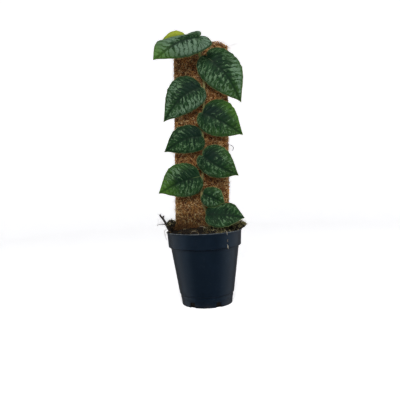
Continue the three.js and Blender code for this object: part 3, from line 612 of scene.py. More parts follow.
mix_soil = toned("soil", SOIL_SHADES, 0.7, 0.95)
soil_side = pot_inside(SOIL.gap)
soil_rings = turned(soil_side[:-1], SOIL.sides)
edge_radius = soil_side[-1][0] - 0.25
turn = np.linspace(0, 2 * math.pi, SOIL.sides, endpoint=False)
for radius in np.linspace(edge_radius, 0.8, SOIL.rings):
    x, y = round_spot(turn, radius)
    grit = 0.5 * speckle(np.round(x, 1), np.round(y, 1))
    soil_rings.append(np.stack([x, y, soil_top(x, y) + grit], 1))
soil_points, soil_faces = skin(soil_rings)
soil = mesh_piece("soil", soil_points, soil_faces, [mix_soil], tidy=True)
paint(soil, "tone", 0.16 + 0.25 * speckle(soil_points[:, 0], soil_points[:, 1]))
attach(soil, "root")
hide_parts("soil")


def chip_numbers(value):
    """Numbers from 0 to 1 by the rule that strews the solid soil's chips, so that these lie on them."""
    while True:
        value = (value * CHIP_RULE.factor + CHIP_RULE.added) % CHIP_RULE.below
        yield value / CHIP_RULE.below


# The rule gives each chip eight numbers, of which the turn, the distance out and the size are used.
numbers = list(islice(chip_numbers(CHIPS.seed), CHIPS.passed, CHIPS.passed + CHIPS.each * CHIPS.count))
turn, out, size = np.reshape(numbers, (-1, CHIPS.each))[:, :3].T
out = np.sqrt(0.25 + 0.75 * out) * (POT.rim - 6.5)
x, y = round_spot(turn * 2 * math.pi, out)
size = CHIPS.size[0] + (CHIPS.size[1] - CHIPS.size[0]) * size ** 2
chip_centres = np.stack([x, y, soil_top(x, y) + size * 0.1], 1)
chip_sizes = np.minimum(size, POT.rim - 2.5 - out + size * 0.3)

random = np.random.default_rng(CRUMBS.seed)
lump_centres = [np.array([at for at, _, _, _ in LUMPS])]
lump_sizes = [radius for _, radius, _, _ in LUMPS]
for at, radius, _, _ in LUMPS:
    way = random_ways(random, KNOBS.count)
    size = radius * random.uniform(*KNOBS.share, KNOBS.count)
    lump_centres.append(np.array(at) + way * (radius - size * 0.8)[:, None])
    lump_sizes = np.append(lump_sizes, size)
lump_heap = bits(np.vstack(lump_centres), lump_sizes, (0.86, 1.04), 0.13, 3, random)
chip_heap = bits(chip_centres, chip_sizes, (0.62, 1.05), 0.13, 3, random)
big_points, big_faces, big_sizes = heaped(lump_heap, chip_heap)
rounding = np.array([noise.noise(Vector(point) * 0.5) for point in big_points])
big_points += 0.9 * rounding[:, None] * random.uniform(0.3, 1, (len(big_points), 3))
big_tones = random.uniform(*LUMP_TONES.knobs, len(big_sizes))
big_tones[:CLOD_LUMPS] = LUMP_TONES.clod
big_tones[CLOD_LUMPS:len(LUMPS)] = LUMP_TONES.bank

# Crumbs are strewn over the top, and thicker on the lumps.
out = np.sqrt(random.uniform(0, 1, CRUMBS.count)) * (edge_radius - 1.2)
x, y = round_spot(random.uniform(0, 2 * math.pi, CRUMBS.count), out)
crumb_sizes = CRUMBS.size[0] + (CRUMBS.size[1] - CRUMBS.size[0]) * random.uniform(0, 1, CRUMBS.count) ** 3
crumb_centres = [np.stack([x, y, soil_top(x, y) + crumb_sizes * 0.4 + 0.2], 1)]
for at, radius, number, _ in LUMPS:
    crumb_centres.append(np.array(at) + random_ways(random, number) * radius * CRUMBS.out_on_lumps)
    crumb_sizes = np.append(crumb_sizes, random.uniform(*CRUMBS.size_on_lumps, number))
crumb_heap = bits(np.vstack(crumb_centres), crumb_sizes, (0.6, 1.25), 0.2, 1, random)
crumb_tones = random.beta(1.0, 3.8, len(crumb_sizes))
crumb_tones[random.uniform(size=len(crumb_sizes)) < CRUMBS.pale_share] = CRUMBS.pale
crumbs = heap_piece("soil_crumbs", heaped((big_points, big_faces, big_sizes), crumb_heap), mix_soil,
                    np.concatenate([big_tones, crumb_tones]), sharp=CRUMBS.sharp)
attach(crumbs, "root")

random = np.random.default_rng(LITTER.seed)
out = np.sqrt(random.uniform(0.15, 1, LITTER.count)) * (edge_radius - 3)
start = np.stack(round_spot(random.uniform(0, 2 * math.pi, LITTER.count), out), 1)
heading = random.uniform(0, 2 * math.pi, LITTER.count)
length = random.uniform(*LITTER.length, LITTER.count)
ground = wander(random, start, heading, length, LITTER.rows, LITTER.curl)
far = np.hypot(ground[..., 0], ground[..., 1])
ground *= np.minimum(1, (edge_radius - 0.8) / np.maximum(far, 1e-6))[..., None]
lift = np.abs(random.normal(0.8, 0.9, (LITTER.count, 1))) * np.linspace(0.2, 1.5, LITTER.rows)
paths = np.dstack([ground, soil_top(ground[..., 0], ground[..., 1]) + 0.7 + lift])
litter_heap = strands(paths, random.uniform(*LITTER.radius, LITTER.count), (0, 0, 1))
litter = heap_piece("soil_litter", litter_heap, toned("straw_bits", STRAW_SHADES, 0.1, 0.8),
                    random.uniform(0.15, 1, LITTER.count) ** 2.6)
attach(litter, "root")

random = np.random.default_rng(MOSS.seed)
roots, ways = [], []
for at, radius, _, number in LUMPS:
    ways.append(random_ways(random, number, upward=True))
    roots.append(np.array(at) + ways[-1] * radius * MOSS.out_on_lumps)
patch = random.normal(size=(MOSS.strewn, 2)) * MOSS.spread + MOSS.middle
patch *= np.minimum(1, (edge_radius - 2) / np.hypot(*patch.T))[:, None]
roots = np.vstack([*roots, np.column_stack([patch, soil_top(*patch.T)])])
ways = np.vstack([*ways, random.normal(size=(MOSS.strewn, 3)) * 0.4 + (0, 0, 1)])
count = len(roots)
length = random.uniform(*MOSS.length, count)[:, None, None]
length[roots[:, 0] > MOSS.short_past] *= MOSS.short
paths = sprouts(roots, ways[:, None], random.normal(0, 0.5, (count, 1, 3)), length, MOSS.rows)
moss_heap = strands(paths, random.uniform(*MOSS.radius, count), (0.3, 0.2, 1))
moss = heap_piece("moss", moss_heap, toned("moss", MOSS_SHADES, 0.1, 0.85), random.uniform(0, 1, count))
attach(moss, "root")

# Old root. The dark dry stub of an old root stands out of the soil at the left and forks at its tip,
# with root hairs on it. It is one piece with its fork and its side root.
STUB = Sizes(
    route=[(-50.4, -13, 103), (-54.4, -13.5, 118), (-58.6, -14, 126.6), (-63.2, -14.6, 136.4),
           (-69.8, -15, 145.6)],
    radii=[2.3, 2.2, 1.9, 1.55, 1.0],
    fork=[(-63.6, -14.4, 136.6), (-64.6, -15.2, 140), (-62.4, -15.8, 143.8)], fork_radii=(1.3, 1.1, 0.8),
    side=[(-59.6, -14, 129), (-66, -16.5, 130.4), (-74, -18, 129.6)], side_radii=(0.75, 0.5, 0.3),
)
HAIRS = Sizes(count=300, length=(1.2, 4.2), radius=(0.08, 0.15), rows=5, above=117, seed=21)
BARK_SHADES = [(0.0, (14, 10, 8)), (0.45, (34, 25, 19)), (0.8, (70, 54, 40)), (1.0, (150, 132, 104))]


def smooth_line(points, count):
    """Evenly spaced points on a smooth curve through the given ones."""
    given = np.asarray(points, float)
    given = np.vstack([2 * given[0] - given[1], given, 2 * given[-1] - given[-2]])
    dense = []
    for p0, p1, p2, p3 in zip(given, given[1:], given[2:], given[3:]):
        t1 = np.linalg.norm(p1 - p0) ** 0.5
        t2 = t1 + np.linalg.norm(p2 - p1) ** 0.5
        t3 = t2 + np.linalg.norm(p3 - p2) ** 0.5
        t = np.linspace(t1, t2, 24, endpoint=False)[:, None]
        a1 = (t1 - t) / t1 * p0 + t / t1 * p1
        a2 = (t2 - t) / (t2 - t1) * p1 + (t - t1) / (t2 - t1) * p2
        a3 = (t3 - t) / (t3 - t2) * p2 + (t - t2) / (t3 - t2) * p3
        b1 = (t2 - t) / t2 * a1 + t / t2 * a2
        b2 = (t3 - t) / (t3 - t1) * a2 + (t - t1) / (t3 - t1) * a3
        dense.append((t2 - t) / (t2 - t1) * b1 + (t - t1) / (t2 - t1) * b2)
    dense = np.vstack([*dense, given[-2]])
    gone = np.append(0, np.cumsum(np.linalg.norm(np.diff(dense, axis=0), axis=1)))
    wanted = np.linspace(0, gone[-1], count)
    return np.stack([np.interp(wanted, gone, dense[:, axis]) for axis in range(3)], 1)


def tube(points, radii, steps, sides, rough=0.0, seed=0):
    """A round skin round a smooth line. radii are spread evenly along it, and rough knocks its surface."""
    line = smooth_line(points, steps + 1)
    along = np.gradient(line, axis=0)
    along /= np.linalg.norm(along, axis=1)[:, None]
    across = np.cross(along[0], (0.31, 0.87, 0.38))
    thick = np.interp(np.linspace(0, 1, steps + 1), np.linspace(0, 1, len(radii)), radii)
    knock = np.random.default_rng(seed).uniform(-rough, rough, (steps + 1, sides))
    turn = np.arange(sides) * 2 * math.pi / sides
    rings = []
    for centre, way, radius, dents in zip(line, along, thick, knock):
        across = across - way * across.dot(way)
        across /= np.linalg.norm(across)
        other = np.cross(way, across)
        reach = (radius * (1 + dents))[:, None]
        rings.append(centre + reach * (np.cos(turn)[:, None] * across + np.sin(turn)[:, None] * other))
    return skin(rings)


def joined(parts):
    """The points and faces of several skins as one, and the number of the skin that each point is from."""
    points, faces, part = [], [], []
    for number, (some, some_faces) in enumerate(parts):
        faces += [tuple(index + len(part) for index in face) for face in some_faces]
        points.append(some)
        part += [number] * len(some)
    return np.vstack(points), faces, np.array(part)


old_bark = toned("old_root_bark", BARK_SHADES, 0.6, 0.9)
stub_points, stub_faces, _ = joined([
    tube(STUB.route, STUB.radii, 60, 20, 0.24, 3),
    tube(STUB.fork, STUB.fork_radii, 20, 12, 0.25, 4),
    tube(STUB.side, STUB.side_radii, 24, 8, 0.15, 5),
])
random = np.random.default_rng(HAIRS.seed)
roots = stub_points[random.integers(0, len(stub_points), HAIRS.count)]
roots = roots[roots[:, 2] > HAIRS.above]
count = len(roots)
ways = random.normal(size=(count, 1, 3))
bends = 0.7 * random.normal(size=(count, 1, 3))
length = 0.6 * random.uniform(*HAIRS.length, count)[:, None, None]
paths = sprouts(roots, ways, bends, length, HAIRS.rows)
paths[..., 0] = np.maximum(paths[..., 0], cad_low[0] / MM + 0.2)
hair_points, hair_faces, _ = strands(paths, random.uniform(*HAIRS.radius, count), (0, 0, 1))
root_points, root_faces, _ = joined([(stub_points, stub_faces), (hair_points, hair_faces)])
old_root = mesh_piece("old_root", root_points, root_faces, [old_bark], tidy=True)
stub_tone = 0.25 + 0.3 * speckle(stub_points[:, 0], stub_points[:, 2])
paint(old_root, "tone", np.concatenate([stub_tone, random.uniform(0.5, 1, len(hair_points))]))
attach(old_root, "root")
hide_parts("old_root")

# Thin roots. A few bare ones from the mix hang over the rim at the left and before the mossy bank, two
# lie on the soil, and a dark curl stands off the board's right edge.
# Each: how pale it is from 0 to 1, its radius and its route.
THIN_ROOTS = [
    (0.35, 0.3, [(-54, -12, 119), (-59.5, -14, 121.5), (-62.6, -15, 120), (-63.2, -15.4, 115),
                 (-62.6, -15.2, 110.5)]),
    (0.3, 0.3, [(-53, -20, 118.5), (-58.4, -22.4, 118.8), (-60.4, -23.4, 115), (-60.6, -24, 110),
                (-59.9, -23.8, 106)]),
    (0.75, 0.3, [(29, -41, 116.5), (32.8, -47.6, 118.6), (33.8, -50.8, 116.6), (34.2, -50.2, 112.6)]),
    (0.5, 0.3, [(34.8, -48.9, 105.4), (34.3, -49.1, 103.6), (34.5, -48.8, 101.4)]),
    (1.0, 0.32, [(33.6, -48.9, 98), (34.6, -48.1, 95.4), (34.3, -48.2, 93.4), (35.2, -47.5, 91.4)]),
    (0.8, 0.3, [(-7, -24, 124), (-4, -28, 125.2), (0, -30, 123.6), (4, -29, 121.6)]),
    (0.6, 0.3, [(-20, -44, 118.5), (-17, -48, 120.4), (-13.5, -47.5, 120), (-12, -44, 118.6)]),
    (0.0, 0.6, [(41, -8, 251), (48, -10.6, 251), (52, -11, 248.4), (52.4, -11, 244.4), (50, -11, 241.4)]),
]
THIN_ROOT_TAPER = np.array((1, 0.85, 0.95, 0.8))
ROOT_SHADES = [(0.0, (58, 54, 46)), (0.4, (128, 114, 90)), (1.0, (208, 200, 178))]
root_skin = toned("thin_root_skin", ROOT_SHADES, 0.08, 0.7)
root_points, root_faces, part = joined([
    tube(route, radius * THIN_ROOT_TAPER, 60, 8, 0.3, number)
    for number, (_, radius, route) in enumerate(THIN_ROOTS)
])
thin_roots = mesh_piece("thin_roots", root_points, root_faces, [root_skin], tidy=True)
paint(thin_roots, "tone", np.array([pale for pale, _, _ in THIN_ROOTS])[part])
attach(thin_roots, "root")

# Stake. A flat softwood lath inside the coir stiffens it and runs down to the pot's floor. The coir and
# the soil hide it, so the solid lath itself stays and takes a sawn wood finish.
pine, shader, place = material("stake_pine", Roughness=0.75)
ring_lines = streaked(place, (90.0, 260.0, 5.0), 4.0)
marks = use(wear, {"Place": place})
wood = two_tone(step(ring_lines, 0.35, 0.65), (190, 156, 108), (146, 108, 66))
feed(shader, Base_Color=over(wood, ((120, 92, 62), marks["Bloom"], 0.4)))
bump(shader, plus(ring_lines, marks["Grain"]), 0.25)
for face_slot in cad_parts["stake"].material_slots:
    face_slot.material = pine

# Coir board. A flat pad of matted coconut fibre, pressed round the stake, with ragged edges. The fibres
# are real strands laid over a rough core: they cross at random, wrap round the edges and fray at the top.
BOARD = Sizes(
    foot=(-2.4, 0, 120), lean=math.radians(2.05), width=86, thickness=22, corner=4.2,
    buried=12, height=298, slope=7, left_slope=4,
)
CORE = Sizes(rows=170, spacing=2.2, sunk=1.3, rough=1.3)
# Each layer of strands: how many, from where to where round the board, how deep they lie, and a seed.
FIBRES = {
    "coir_front": (5400, (-52, 52), (-1.7, -0.5), 31),
    "coir_curls": (7500, (-52, 52), (-0.9, 0.2), 35),
    "coir_back": (4000, (52, 158), (-1.7, 0.1), 32),
}
FINE = Sizes(share=0.3, length=(7, 18), radius=(0.13, 0.22), curl=0.5)
COARSE = Sizes(length=(2.4, 6), radius=(0.3, 0.56), curl=1.1)
FIBRE_ROWS = 5
# Strands are painted darker the deeper they lie between these depths: painted shade in the mat.
DEEPEST, DEPTH_RANGE = -1.7, 1.8
BRIGHT = Sizes(share=0.09, more=0.4)
LOOSE = Sizes(count=1260, length=(3, 10), radius=(0.1, 0.22), rows=6, seed=33, tones=(0.45, 1))
TUFT = Sizes(count=520, length=(5, 14), radius=(0.1, 0.2), rows=7, seed=34, tones=(0.3, 0.95))
SKIRT = Sizes(count=640, length=(4, 11), radius=(0.13, 0.26), rows=7, seed=36, tones=(0.05, 0.7))
COIR_SHADES = [
    (0.0, (38, 23, 12)), (0.25, (106, 64, 32)), (0.5, (168, 111, 57)), (0.75, (212, 156, 92)),
    (1.0, (238, 208, 152)),
]
# The coir is damp below a height, and shaded at the soil. These heights are in metres.
DAMP = Sizes(dry=0.215, wet=0.125, most=0.6, tint=(0.66, 0.78, 0.74, 1.0))
SHADED = Sizes(low=0.121, high=0.150, least=0.6)
half_width, half_depth = BOARD.width / 2, BOARD.thickness / 2
corner_x, corner_y = half_width - BOARD.corner, half_depth - BOARD.corner


def on_board(points):
    """Points across, deep and up on the board as points of the part."""
    x, y, z = np.moveaxis(np.asarray(points, float), -1, 0)
    cos, sin = math.cos(BOARD.lean), math.sin(BOARD.lean)
    foot_x, foot_y, foot_z = BOARD.foot
    return np.stack([x * cos + z * sin + foot_x, y + foot_y, z * cos - x * sin + foot_z], -1)


def coir_top(across):
    """The height of the board's ragged top, which slopes away at its corners, most at the right one."""
    def ease(value, low):
        t = np.clip((value / BOARD.width - low) / (0.5 - low), 0, 1)
        return t * t * (3 - 2 * t)
    top = BOARD.height - BOARD.slope * ease(across, 0.33) - BOARD.left_slope * ease(-across, 0.38)
    return top + 1.4 * lumpy(across, 3.7, 0.9)


section = [(0, -half_depth)]
for quarter, (side, face) in enumerate(((1, -1), (1, 1), (-1, 1), (-1, -1))):
    for bend in np.linspace(quarter - 1, quarter, 9) * math.pi / 2:
        section.append((side * corner_x + BOARD.corner * math.cos(bend),
                        face * corner_y + BOARD.corner * math.sin(bend)))
section = np.array([*section, (0, -half_depth)])
section_gone = np.append(0, np.cumsum(np.hypot(*np.diff(section, axis=0).T)))
GIRTH = section_gone[-1]


def on_skin(around, up, out):
    """Points of the part on the board's skin: round it from the middle of its front, up and out of it."""
    x, y = (np.interp(np.mod(around, GIRTH), section_gone, column) for column in section.T)
    away = np.stack([x - np.clip(x, -corner_x, corner_x), y - np.clip(y, -corner_y, corner_y)], -1)
    away /= np.linalg.norm(away, axis=-1, keepdims=True) + 1e-9
    return on_board(np.stack([x + away[..., 0] * out, y + away[..., 1] * out, up], -1))


def out_of_skin(around, up):
    return on_skin(around, up, np.ones_like(around)) - on_skin(around, up, np.zeros_like(around))


def coir_finish(name, relief):
    """Orange-brown fibre, shaded by each strand's tone, browner and mossier towards the soil, and darker at
    its foot with painted shade by the soil.
    """
    made = toned(name, COIR_SHADES, relief, 0.85)
    shader = made.node_tree.nodes["Principled BSDF"]
    shade = shader.inputs["Base Color"].links[0].from_socket
    place = node("TexCoord", {}, made.node_tree).outputs["Object"]
    up = axes(place)["Z"]
    damp = times(step(up, DAMP.dry, DAMP.wet), step(cloud(place, 45.0, 4.0), 0.3, 0.65, 0.35, 1.0))
    shade = blend(times(damp, DAMP.most), shade, blend(1.0, shade, DAMP.tint, "MULTIPLY"))
    # Patchy darkening all over, and painted shade low on the board where it meets the soil.
    patch = step(cloud(place, 38.0, 3.0), 0.3, 0.7, 0.82, 1.1)
    patch = times(patch, step(up, SHADED.low, SHADED.high, SHADED.least, 1.0))
    grey = node("CombineColor", {0: patch, 1: patch, 2: patch}).outputs[0]
    feed(shader, Base_Color=blend(1.0, shade, grey, "MULTIPLY"))
    return made


core_coir = coir_finish("coir_core", 1.2)
fibre_coir = coir_finish("coir_fibre", 0.05)
around = np.linspace(0, GIRTH, round(GIRTH / CORE.spacing), endpoint=False)
across = np.interp(around, section_gone, section[:, 0])
core_rings = []
for level in np.linspace(-BOARD.buried, BOARD.height - 2, CORE.rows):
    up = np.minimum(level, coir_top(across) - 1.5)
    knots = lumpy(around, up, 0.55) * 0.5 + speckle(np.round(around), np.round(up)) - 0.5
    core_rings.append(on_skin(around, up, -CORE.sunk - 0.5 * CORE.rough + CORE.rough * 0.6 * knots))
core_points, core_faces = skin(core_rings)
core = mesh_piece("coir_core", core_points, core_faces, [core_coir], tidy=True)
paint(core, "tone", 0.05 + 0.3 * speckle(core_points[:, 0], core_points[:, 2]))
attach(core, "root")
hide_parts("coir_board")

for name, (count, reach, depths, seed) in FIBRES.items():
    random = np.random.default_rng(seed)
    start = np.stack([random.uniform(*reach, count), random.uniform(-4, BOARD.height + 4, count)], 1)
    fine = random.uniform(0, 1, count) < FINE.share
    length = np.where(fine, random.uniform(*FINE.length, count), random.uniform(*COARSE.length, count))
    heading = random.uniform(0, 2 * math.pi, count)
    laid = wander(random, start, heading, length, FIBRE_ROWS, np.where(fine, FINE.curl, COARSE.curl))
    across = np.interp(np.mod(laid[..., 0], GIRTH), section_gone, section[:, 0])
    up = np.minimum(laid[..., 1], coir_top(across) - 0.4 + random.uniform(-1, 1, (count, 1)))
    up = np.maximum(up, -6)
    weave = 0.35 * np.sin(np.linspace(0, 6, FIBRE_ROWS) + random.uniform(0, 6, (count, 1)))
    depth = random.uniform(*depths, (count, 1))
    paths = on_skin(laid[..., 0], up, depth + weave)
    radii = np.where(fine, random.uniform(*FINE.radius, count), random.uniform(*COARSE.radius, count))
    fibre_heap = strands(paths, radii, out_of_skin(laid[..., 0], up))
    knots = np.array([noise.noise(Vector((a * 0.5, b * 0.5, 31))) for a, b in start])
    # Strands that lie further out are lighter and deeper ones darker: painted shade in the depths of the
    # mat.
    high = (depth[:, 0] - DEEPEST) / DEPTH_RANGE
    tones = 0.27 + 0.32 * high + 0.75 * knots + random.normal(0, 0.24, count)
    tones[random.uniform(0, 1, count) < BRIGHT.share] += BRIGHT.more
    fibres = heap_piece(name, fibre_heap, fibre_coir, np.clip(tones, 0.02, 1))
    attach(fibres, "root")
    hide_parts("coir_board")

# Loose ends stand out of the edges, and a frayed tuft stands on the top.
random = np.random.default_rng(LOOSE.seed)
count = LOOSE.count
on_edge = random.uniform(0, 1, count) < 0.8
edge = np.where(random.uniform(0, 1, count) < 0.5, GIRTH * 0.25, GIRTH * 0.75)
around = np.where(on_edge, edge + random.normal(0, 7, count), random.uniform(0, GIRTH, count))
up = random.uniform(3, BOARD.height - 6, count)
length = (np.where(on_edge, 1.0, 0.35) * random.uniform(*LOOSE.length, count))[:, None]
bends = 0.5 * np.moveaxis(random.normal(0, 0.9, (2, count, 1)), 0, 2)
lean_out = random.uniform(0.25, 0.8, (count, 1)) * np.linspace(0, 1, LOOSE.rows)
ways = random.uniform(-0.8, 0.8, (count, 1, 1)) * (0, 1)
flat = sprouts(np.stack([around, up], 1), ways, bends, length[:, None], LOOSE.rows)
side_way = out_of_skin(flat[..., 0], flat[..., 1]) + (0.3, 0.2, 0.4)
paths = on_skin(flat[..., 0], flat[..., 1], -1.0 + length * lean_out)
loose = strands(paths, random.uniform(*LOOSE.radius, count), side_way)

random = np.random.default_rng(TUFT.seed)
count = TUFT.count
across = random.uniform(-0.97, 0.97, count) * half_width
deep = random.uniform(-0.9, 0.9, count) * half_depth
roots = np.stack([across, deep, coir_top(across) - 4], 1)
ways = [random.normal(0, 0.75, count), random.normal(0, 0.6, count), random.uniform(0.25, 1, count)]
ways = np.stack(ways, 1)
ways /= np.linalg.norm(ways, axis=1)[:, None]
length = random.uniform(*TUFT.length, (count, 1, 1)) * np.where(across > 15, 1, 0.75)[:, None, None]
bends = random.normal(0, 0.6, (count, 1, 3)) * (1, 1, 0.4) - (0, 0, 0.3)
paths = on_board(sprouts(roots, ways[:, None], bends, length, TUFT.rows))
tuft = strands(paths, random.uniform(*TUFT.radius, count), (0.2, 1, 0.1))

# Fibres at the foot of the board spill on to the soil.
random = np.random.default_rng(SKIRT.seed)
count = SKIRT.count
grow = np.linspace(0, 1, SKIRT.rows)[None]
length = random.uniform(*SKIRT.length, (count, 1))
at_front = random.uniform(0, 1, count) < 0.7
around = np.where(at_front, random.uniform(-55, -8, count), random.uniform(0, GIRTH, count))[:, None]
around = around + length * random.normal(0, 0.5, (count, 1)) * grow
curl = random.normal(0, 1, (2, count, 1)) * np.sin(grow * 5)
up = random.uniform(0, 8, (count, 1)) - length * 0.45 * grow
out = length * random.uniform(0.1, 0.9, (count, 1)) * grow ** 1.5
paths = on_skin(around + curl[0], up, out)
floor = soil_top(paths[..., 0], paths[..., 1]) + 0.5 + 0.5 * np.abs(curl[1])
paths[..., 2] = np.maximum(paths[..., 2], floor)
skirt = strands(paths, random.uniform(*SKIRT.radius, count), (0.3, 0.2, 1))
fray_tones = [random.uniform(*kind.tones, kind.count) for kind in (LOOSE, TUFT, SKIRT)]
fray = heap_piece("coir_fray", heaped(loose, tuft, skirt), fibre_coir, np.concatenate(fray_tones))
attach(fray, "root")
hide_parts("coir_board")

# Stem. A green-brown vine lies against the front of the board. It swells at each leaf's joint, has thin
# ring scars there, and holds on with short brown roots that creep over the coir.
# The joints are the heights up the board at which the leaves' stalks leave it, from leaf_1 to young_leaf.
STEM = Sizes(
    radius=2, node=2.7, reach=5, gap=0.3, steps=340, sides=16, tip_from=0.96, tip=0.8,
    route=[
        (10, -22), (10.2, 4), (8.2, 21), (2.4, 36), (-0.8, 50), (-1.2, 62), (1.4, 92), (2.6, 117),
        (1.6, 145), (3.2, 165), (3.9, 186), (4.6, 219), (4.4, 234), (2.8, 250), (1.4, 268), (-0.6, 285),
    ],
    joints=[15.6, 48.4, 75.8, 106.8, 139.3, 175.4, 216.4, 261.4, 271, 278.5],
)
# Each root: how far up the board it leaves the stem, and how far it reaches across and up from there.
AERIAL_ROOTS = [
    (30, -15, -9), (43, 12, 6), (66, -14, -3), (88, 16, 9), (121, -17, -4),
    (153, 14, -7), (190, -16, 5), (229, -13, 17), (243, 15, 3), (272, -18, 6),
]
ROOT_RADIUS = 0.75
board_front = -half_depth
stem_depth = board_front - STEM.gap - STEM.node
root_depth = board_front - STEM.gap - ROOT_RADIUS
stem_points = np.array([(across, stem_depth, up) for across, up in STEM.route])
stem_line = smooth_line(stem_points, 2000)


def stem_at(up):
    return np.array([np.interp(up, stem_line[:, 2], stem_line[:, axis]) for axis in range(3)])


def to_joint(up):
    """How far each of some heights is from the nearest leaf's joint."""
    return np.abs(up[:, None] - np.array(STEM.joints)).min(1)


near = to_joint(smooth_line(stem_points, STEM.steps + 1)[:, 2])
swell = np.clip(1 - near / STEM.reach, 0, 1)
stem_radii = STEM.radius + (STEM.node - STEM.radius) * swell * swell * (3 - 2 * swell)
stem_radii -= 0.22 * np.exp(-((near - 1.2) / 0.35) ** 2)
stem_radii[np.linspace(0, 1, len(stem_radii)) > STEM.tip_from] *= STEM.tip
stem_parts = [tube(stem_points, stem_radii, STEM.steps, STEM.sides, 0.02, 2)]
for number, (up, across, along) in enumerate(AERIAL_ROOTS):
    begin = stem_at(up)
    route = [
        begin, (begin[0] + math.copysign(3.2, across), root_depth - 0.8, up + along * 0.1),
        (begin[0] + across * 0.45, root_depth, up + along * 0.5),
        (begin[0] + across * 0.75, root_depth, up + along * 0.55),
        (begin[0] + across, root_depth + 0.4, up + along),
    ]
    stem_parts.append(tube(route, (ROOT_RADIUS, ROOT_RADIUS, 0.6, 0.35), 36, 10, 0.1, number))

stem_skin, shader, place = material("stem_skin", Specular_IOR_Level=0.45)
marks = use(wear, {"Place": place})
stripe = streaked(place, (420.0, 420.0, 40.0), 4.0)
two_stripes = step(stripe, 0.35, 0.65)
tone = over(two_tone(two_stripes, (104, 104, 54), (134, 124, 74)),
            ((108, 82, 44), marks["Bloom"], 0.6), ((78, 56, 34), carried(place, "scar"), 0.8))
tone = blend(carried(place, "root"), tone, two_tone(two_stripes, (112, 76, 42), (150, 108, 66)))
feed(shader, Base_Color=tone, Roughness=step(stripe, 0.3, 0.7, 0.45, 0.65))
bump(shader, plus(stripe, marks["Grain"]), 0.2)
all_points, all_faces, part = joined(stem_parts)
stem = mesh_piece("stem", on_board(all_points), all_faces, [stem_skin], tidy=True)
paint(stem, "root", part > 0)
scar = np.exp(-((to_joint(all_points[:, 2]) - 1.2) / 0.5) ** 2)
paint(stem, "scar", np.where(part == 0, scar, 0))
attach(stem, "root")
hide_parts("stem")

# Leaves. Ten thin blades with a heart-shaped base, each pressed to the board by a short stalk that runs
# on as a rib under it. The lowest leans out over the soil, and the top one arches off the board.
FLAT = (-7, 7)
# Each: where the stalk meets the blade across and up the board and out from it, the way that the tip
# points, the length, the bow of the midrib, the tilt at base and tip, how far the tip falls back, both
# halves (half width, where it is widest, how far the lobe reaches back, and how full it is there), and
# the fold of each half at the midrib and the margin, which is FLAT where none is given. The marks are
# silver streaks on the lower and on the upper half, partly the leaf's own silver and partly painted
# glints of light on its quilted surface, lime at the tip and along the upper margin, the deep blue-green
# round the base, each as a strength, and the share of the midrib that is pale.
LEAVES = {
    "leaf_1": Sizes(at=(6.8, 22.6), out=21, aim=-5, length=59, bow=1.5, tilt=(34, 28), drop=0,
                    left=(26.2, 35, 2), right=(19, 19, 2.5), marks=(0.41, 0.39, 0.05, 0.15, 0.8, 0)),
    "leaf_2": Sizes(at=(2, 55.4), out=13.5, aim=-24, length=36.5, bow=0.5, tilt=(4, 0), drop=2,
                    left=(17.3, 18, 2.1), right=(16.1, 14, 1.7), marks=(0.53, 0.53, 0.20, 0.35, 0.2, 0)),
    "leaf_3": Sizes(at=(-4, 82.8), out=11, aim=-158, length=70.1, bow=-3.5, tilt=(3, 0), drop=4,
                    left=(23.6, 17, 2.2), right=(32.8, 31, 1.8), marks=(0.46, 0.52, 0.85, 0.5, 0.5, 0.2)),
    "leaf_4": Sizes(at=(4.6, 113.8), out=11, aim=-29.4, length=61.4, bow=-2.8, tilt=(4, 2), drop=4,
                    left=(28.2, 17, 6.7), right=(23.1, 18, 9.6), marks=(0.44, 0.42, 0.25, 0.35, 0.9, 0)),
    "leaf_5": Sizes(at=(-1.2, 146.3), out=11, aim=-157, length=63.2, bow=-5.7, tilt=(2, -2), drop=3,
                    left=(20, 9, 3.1), right=(27.5, 26, 3.7), marks=(0.39, 0.37, 0.05, 0.05, 1, 0)),
    "leaf_6": Sizes(at=(3.3, 182.4), out=11, aim=-29, length=71.2, bow=2.3, tilt=(4, 0), drop=4,
                    left=(35.6, 23, 3.2), right=(25, 20, 6.4), marks=(0.44, 0.34, 0.35, 0.80, 1, 0)),
    "leaf_7": Sizes(at=(-1.7, 223.4), out=11, aim=-137.2, length=79.5, bow=-8, tilt=(3, 0), drop=5,
                    left=(21.4, 15, 2.9), right=(37.8, 21, 3.8), marks=(0.60, 0.58, 0.10, 0.15, 0.9, 0)),
    "leaf_8": Sizes(at=(12.2, 268.4), out=11.5, aim=-53.6, length=86.1, bow=6, tilt=(5, 0), drop=6,
                    left=(38, 27, 10.6), right=(27.3, 15, 9.6), marks=(0.52, 0.66, 0.30, 0.40, 0.4, 0.12)),
    "leaf_9": Sizes(at=(-3.7, 294.5), out=36, aim=-153.4, length=77, bow=-5.7, tilt=(19, -8), drop=1,
                    left=(21.2, 6, 15.3, 1.6), right=(36.4, 54, 8.8, 1.2), fold=((6, 30), (12, 37)),
                    marks=(1.0, 1.5, 1.1, 0.30, 0, 0)),
    "young_leaf": Sizes(at=(-25, 300), out=4.2, aim=-169.5, length=42.7, bow=-1, tilt=(1, 2.5), drop=0,
                        left=(13, 14, 2.5), right=(20.4, 13.6, 2.5), fold=((4, 8), (12, 18)),
                        marks=(0, 0, 0, 0, 0, 0)),
}
BLADE = Sizes(
    thickness=0.6, spacing=4.2, fine=6, rings=18, slant=0.5, quilt=0.5, ripple=0.5, curl=1.0,
    uneven=0.012, point_from=0.78, drawn_in=0.5, back=0.63, point_grid=40,
)
STALK = Sizes(base=1.5, tip=0.55, rib=(0.02, 0.1, 0.24, 0.42, 0.64, 0.86),
              radii=(1.7, 1.5, 1.35, 1.1, 0.95, 0.8, 0.55))
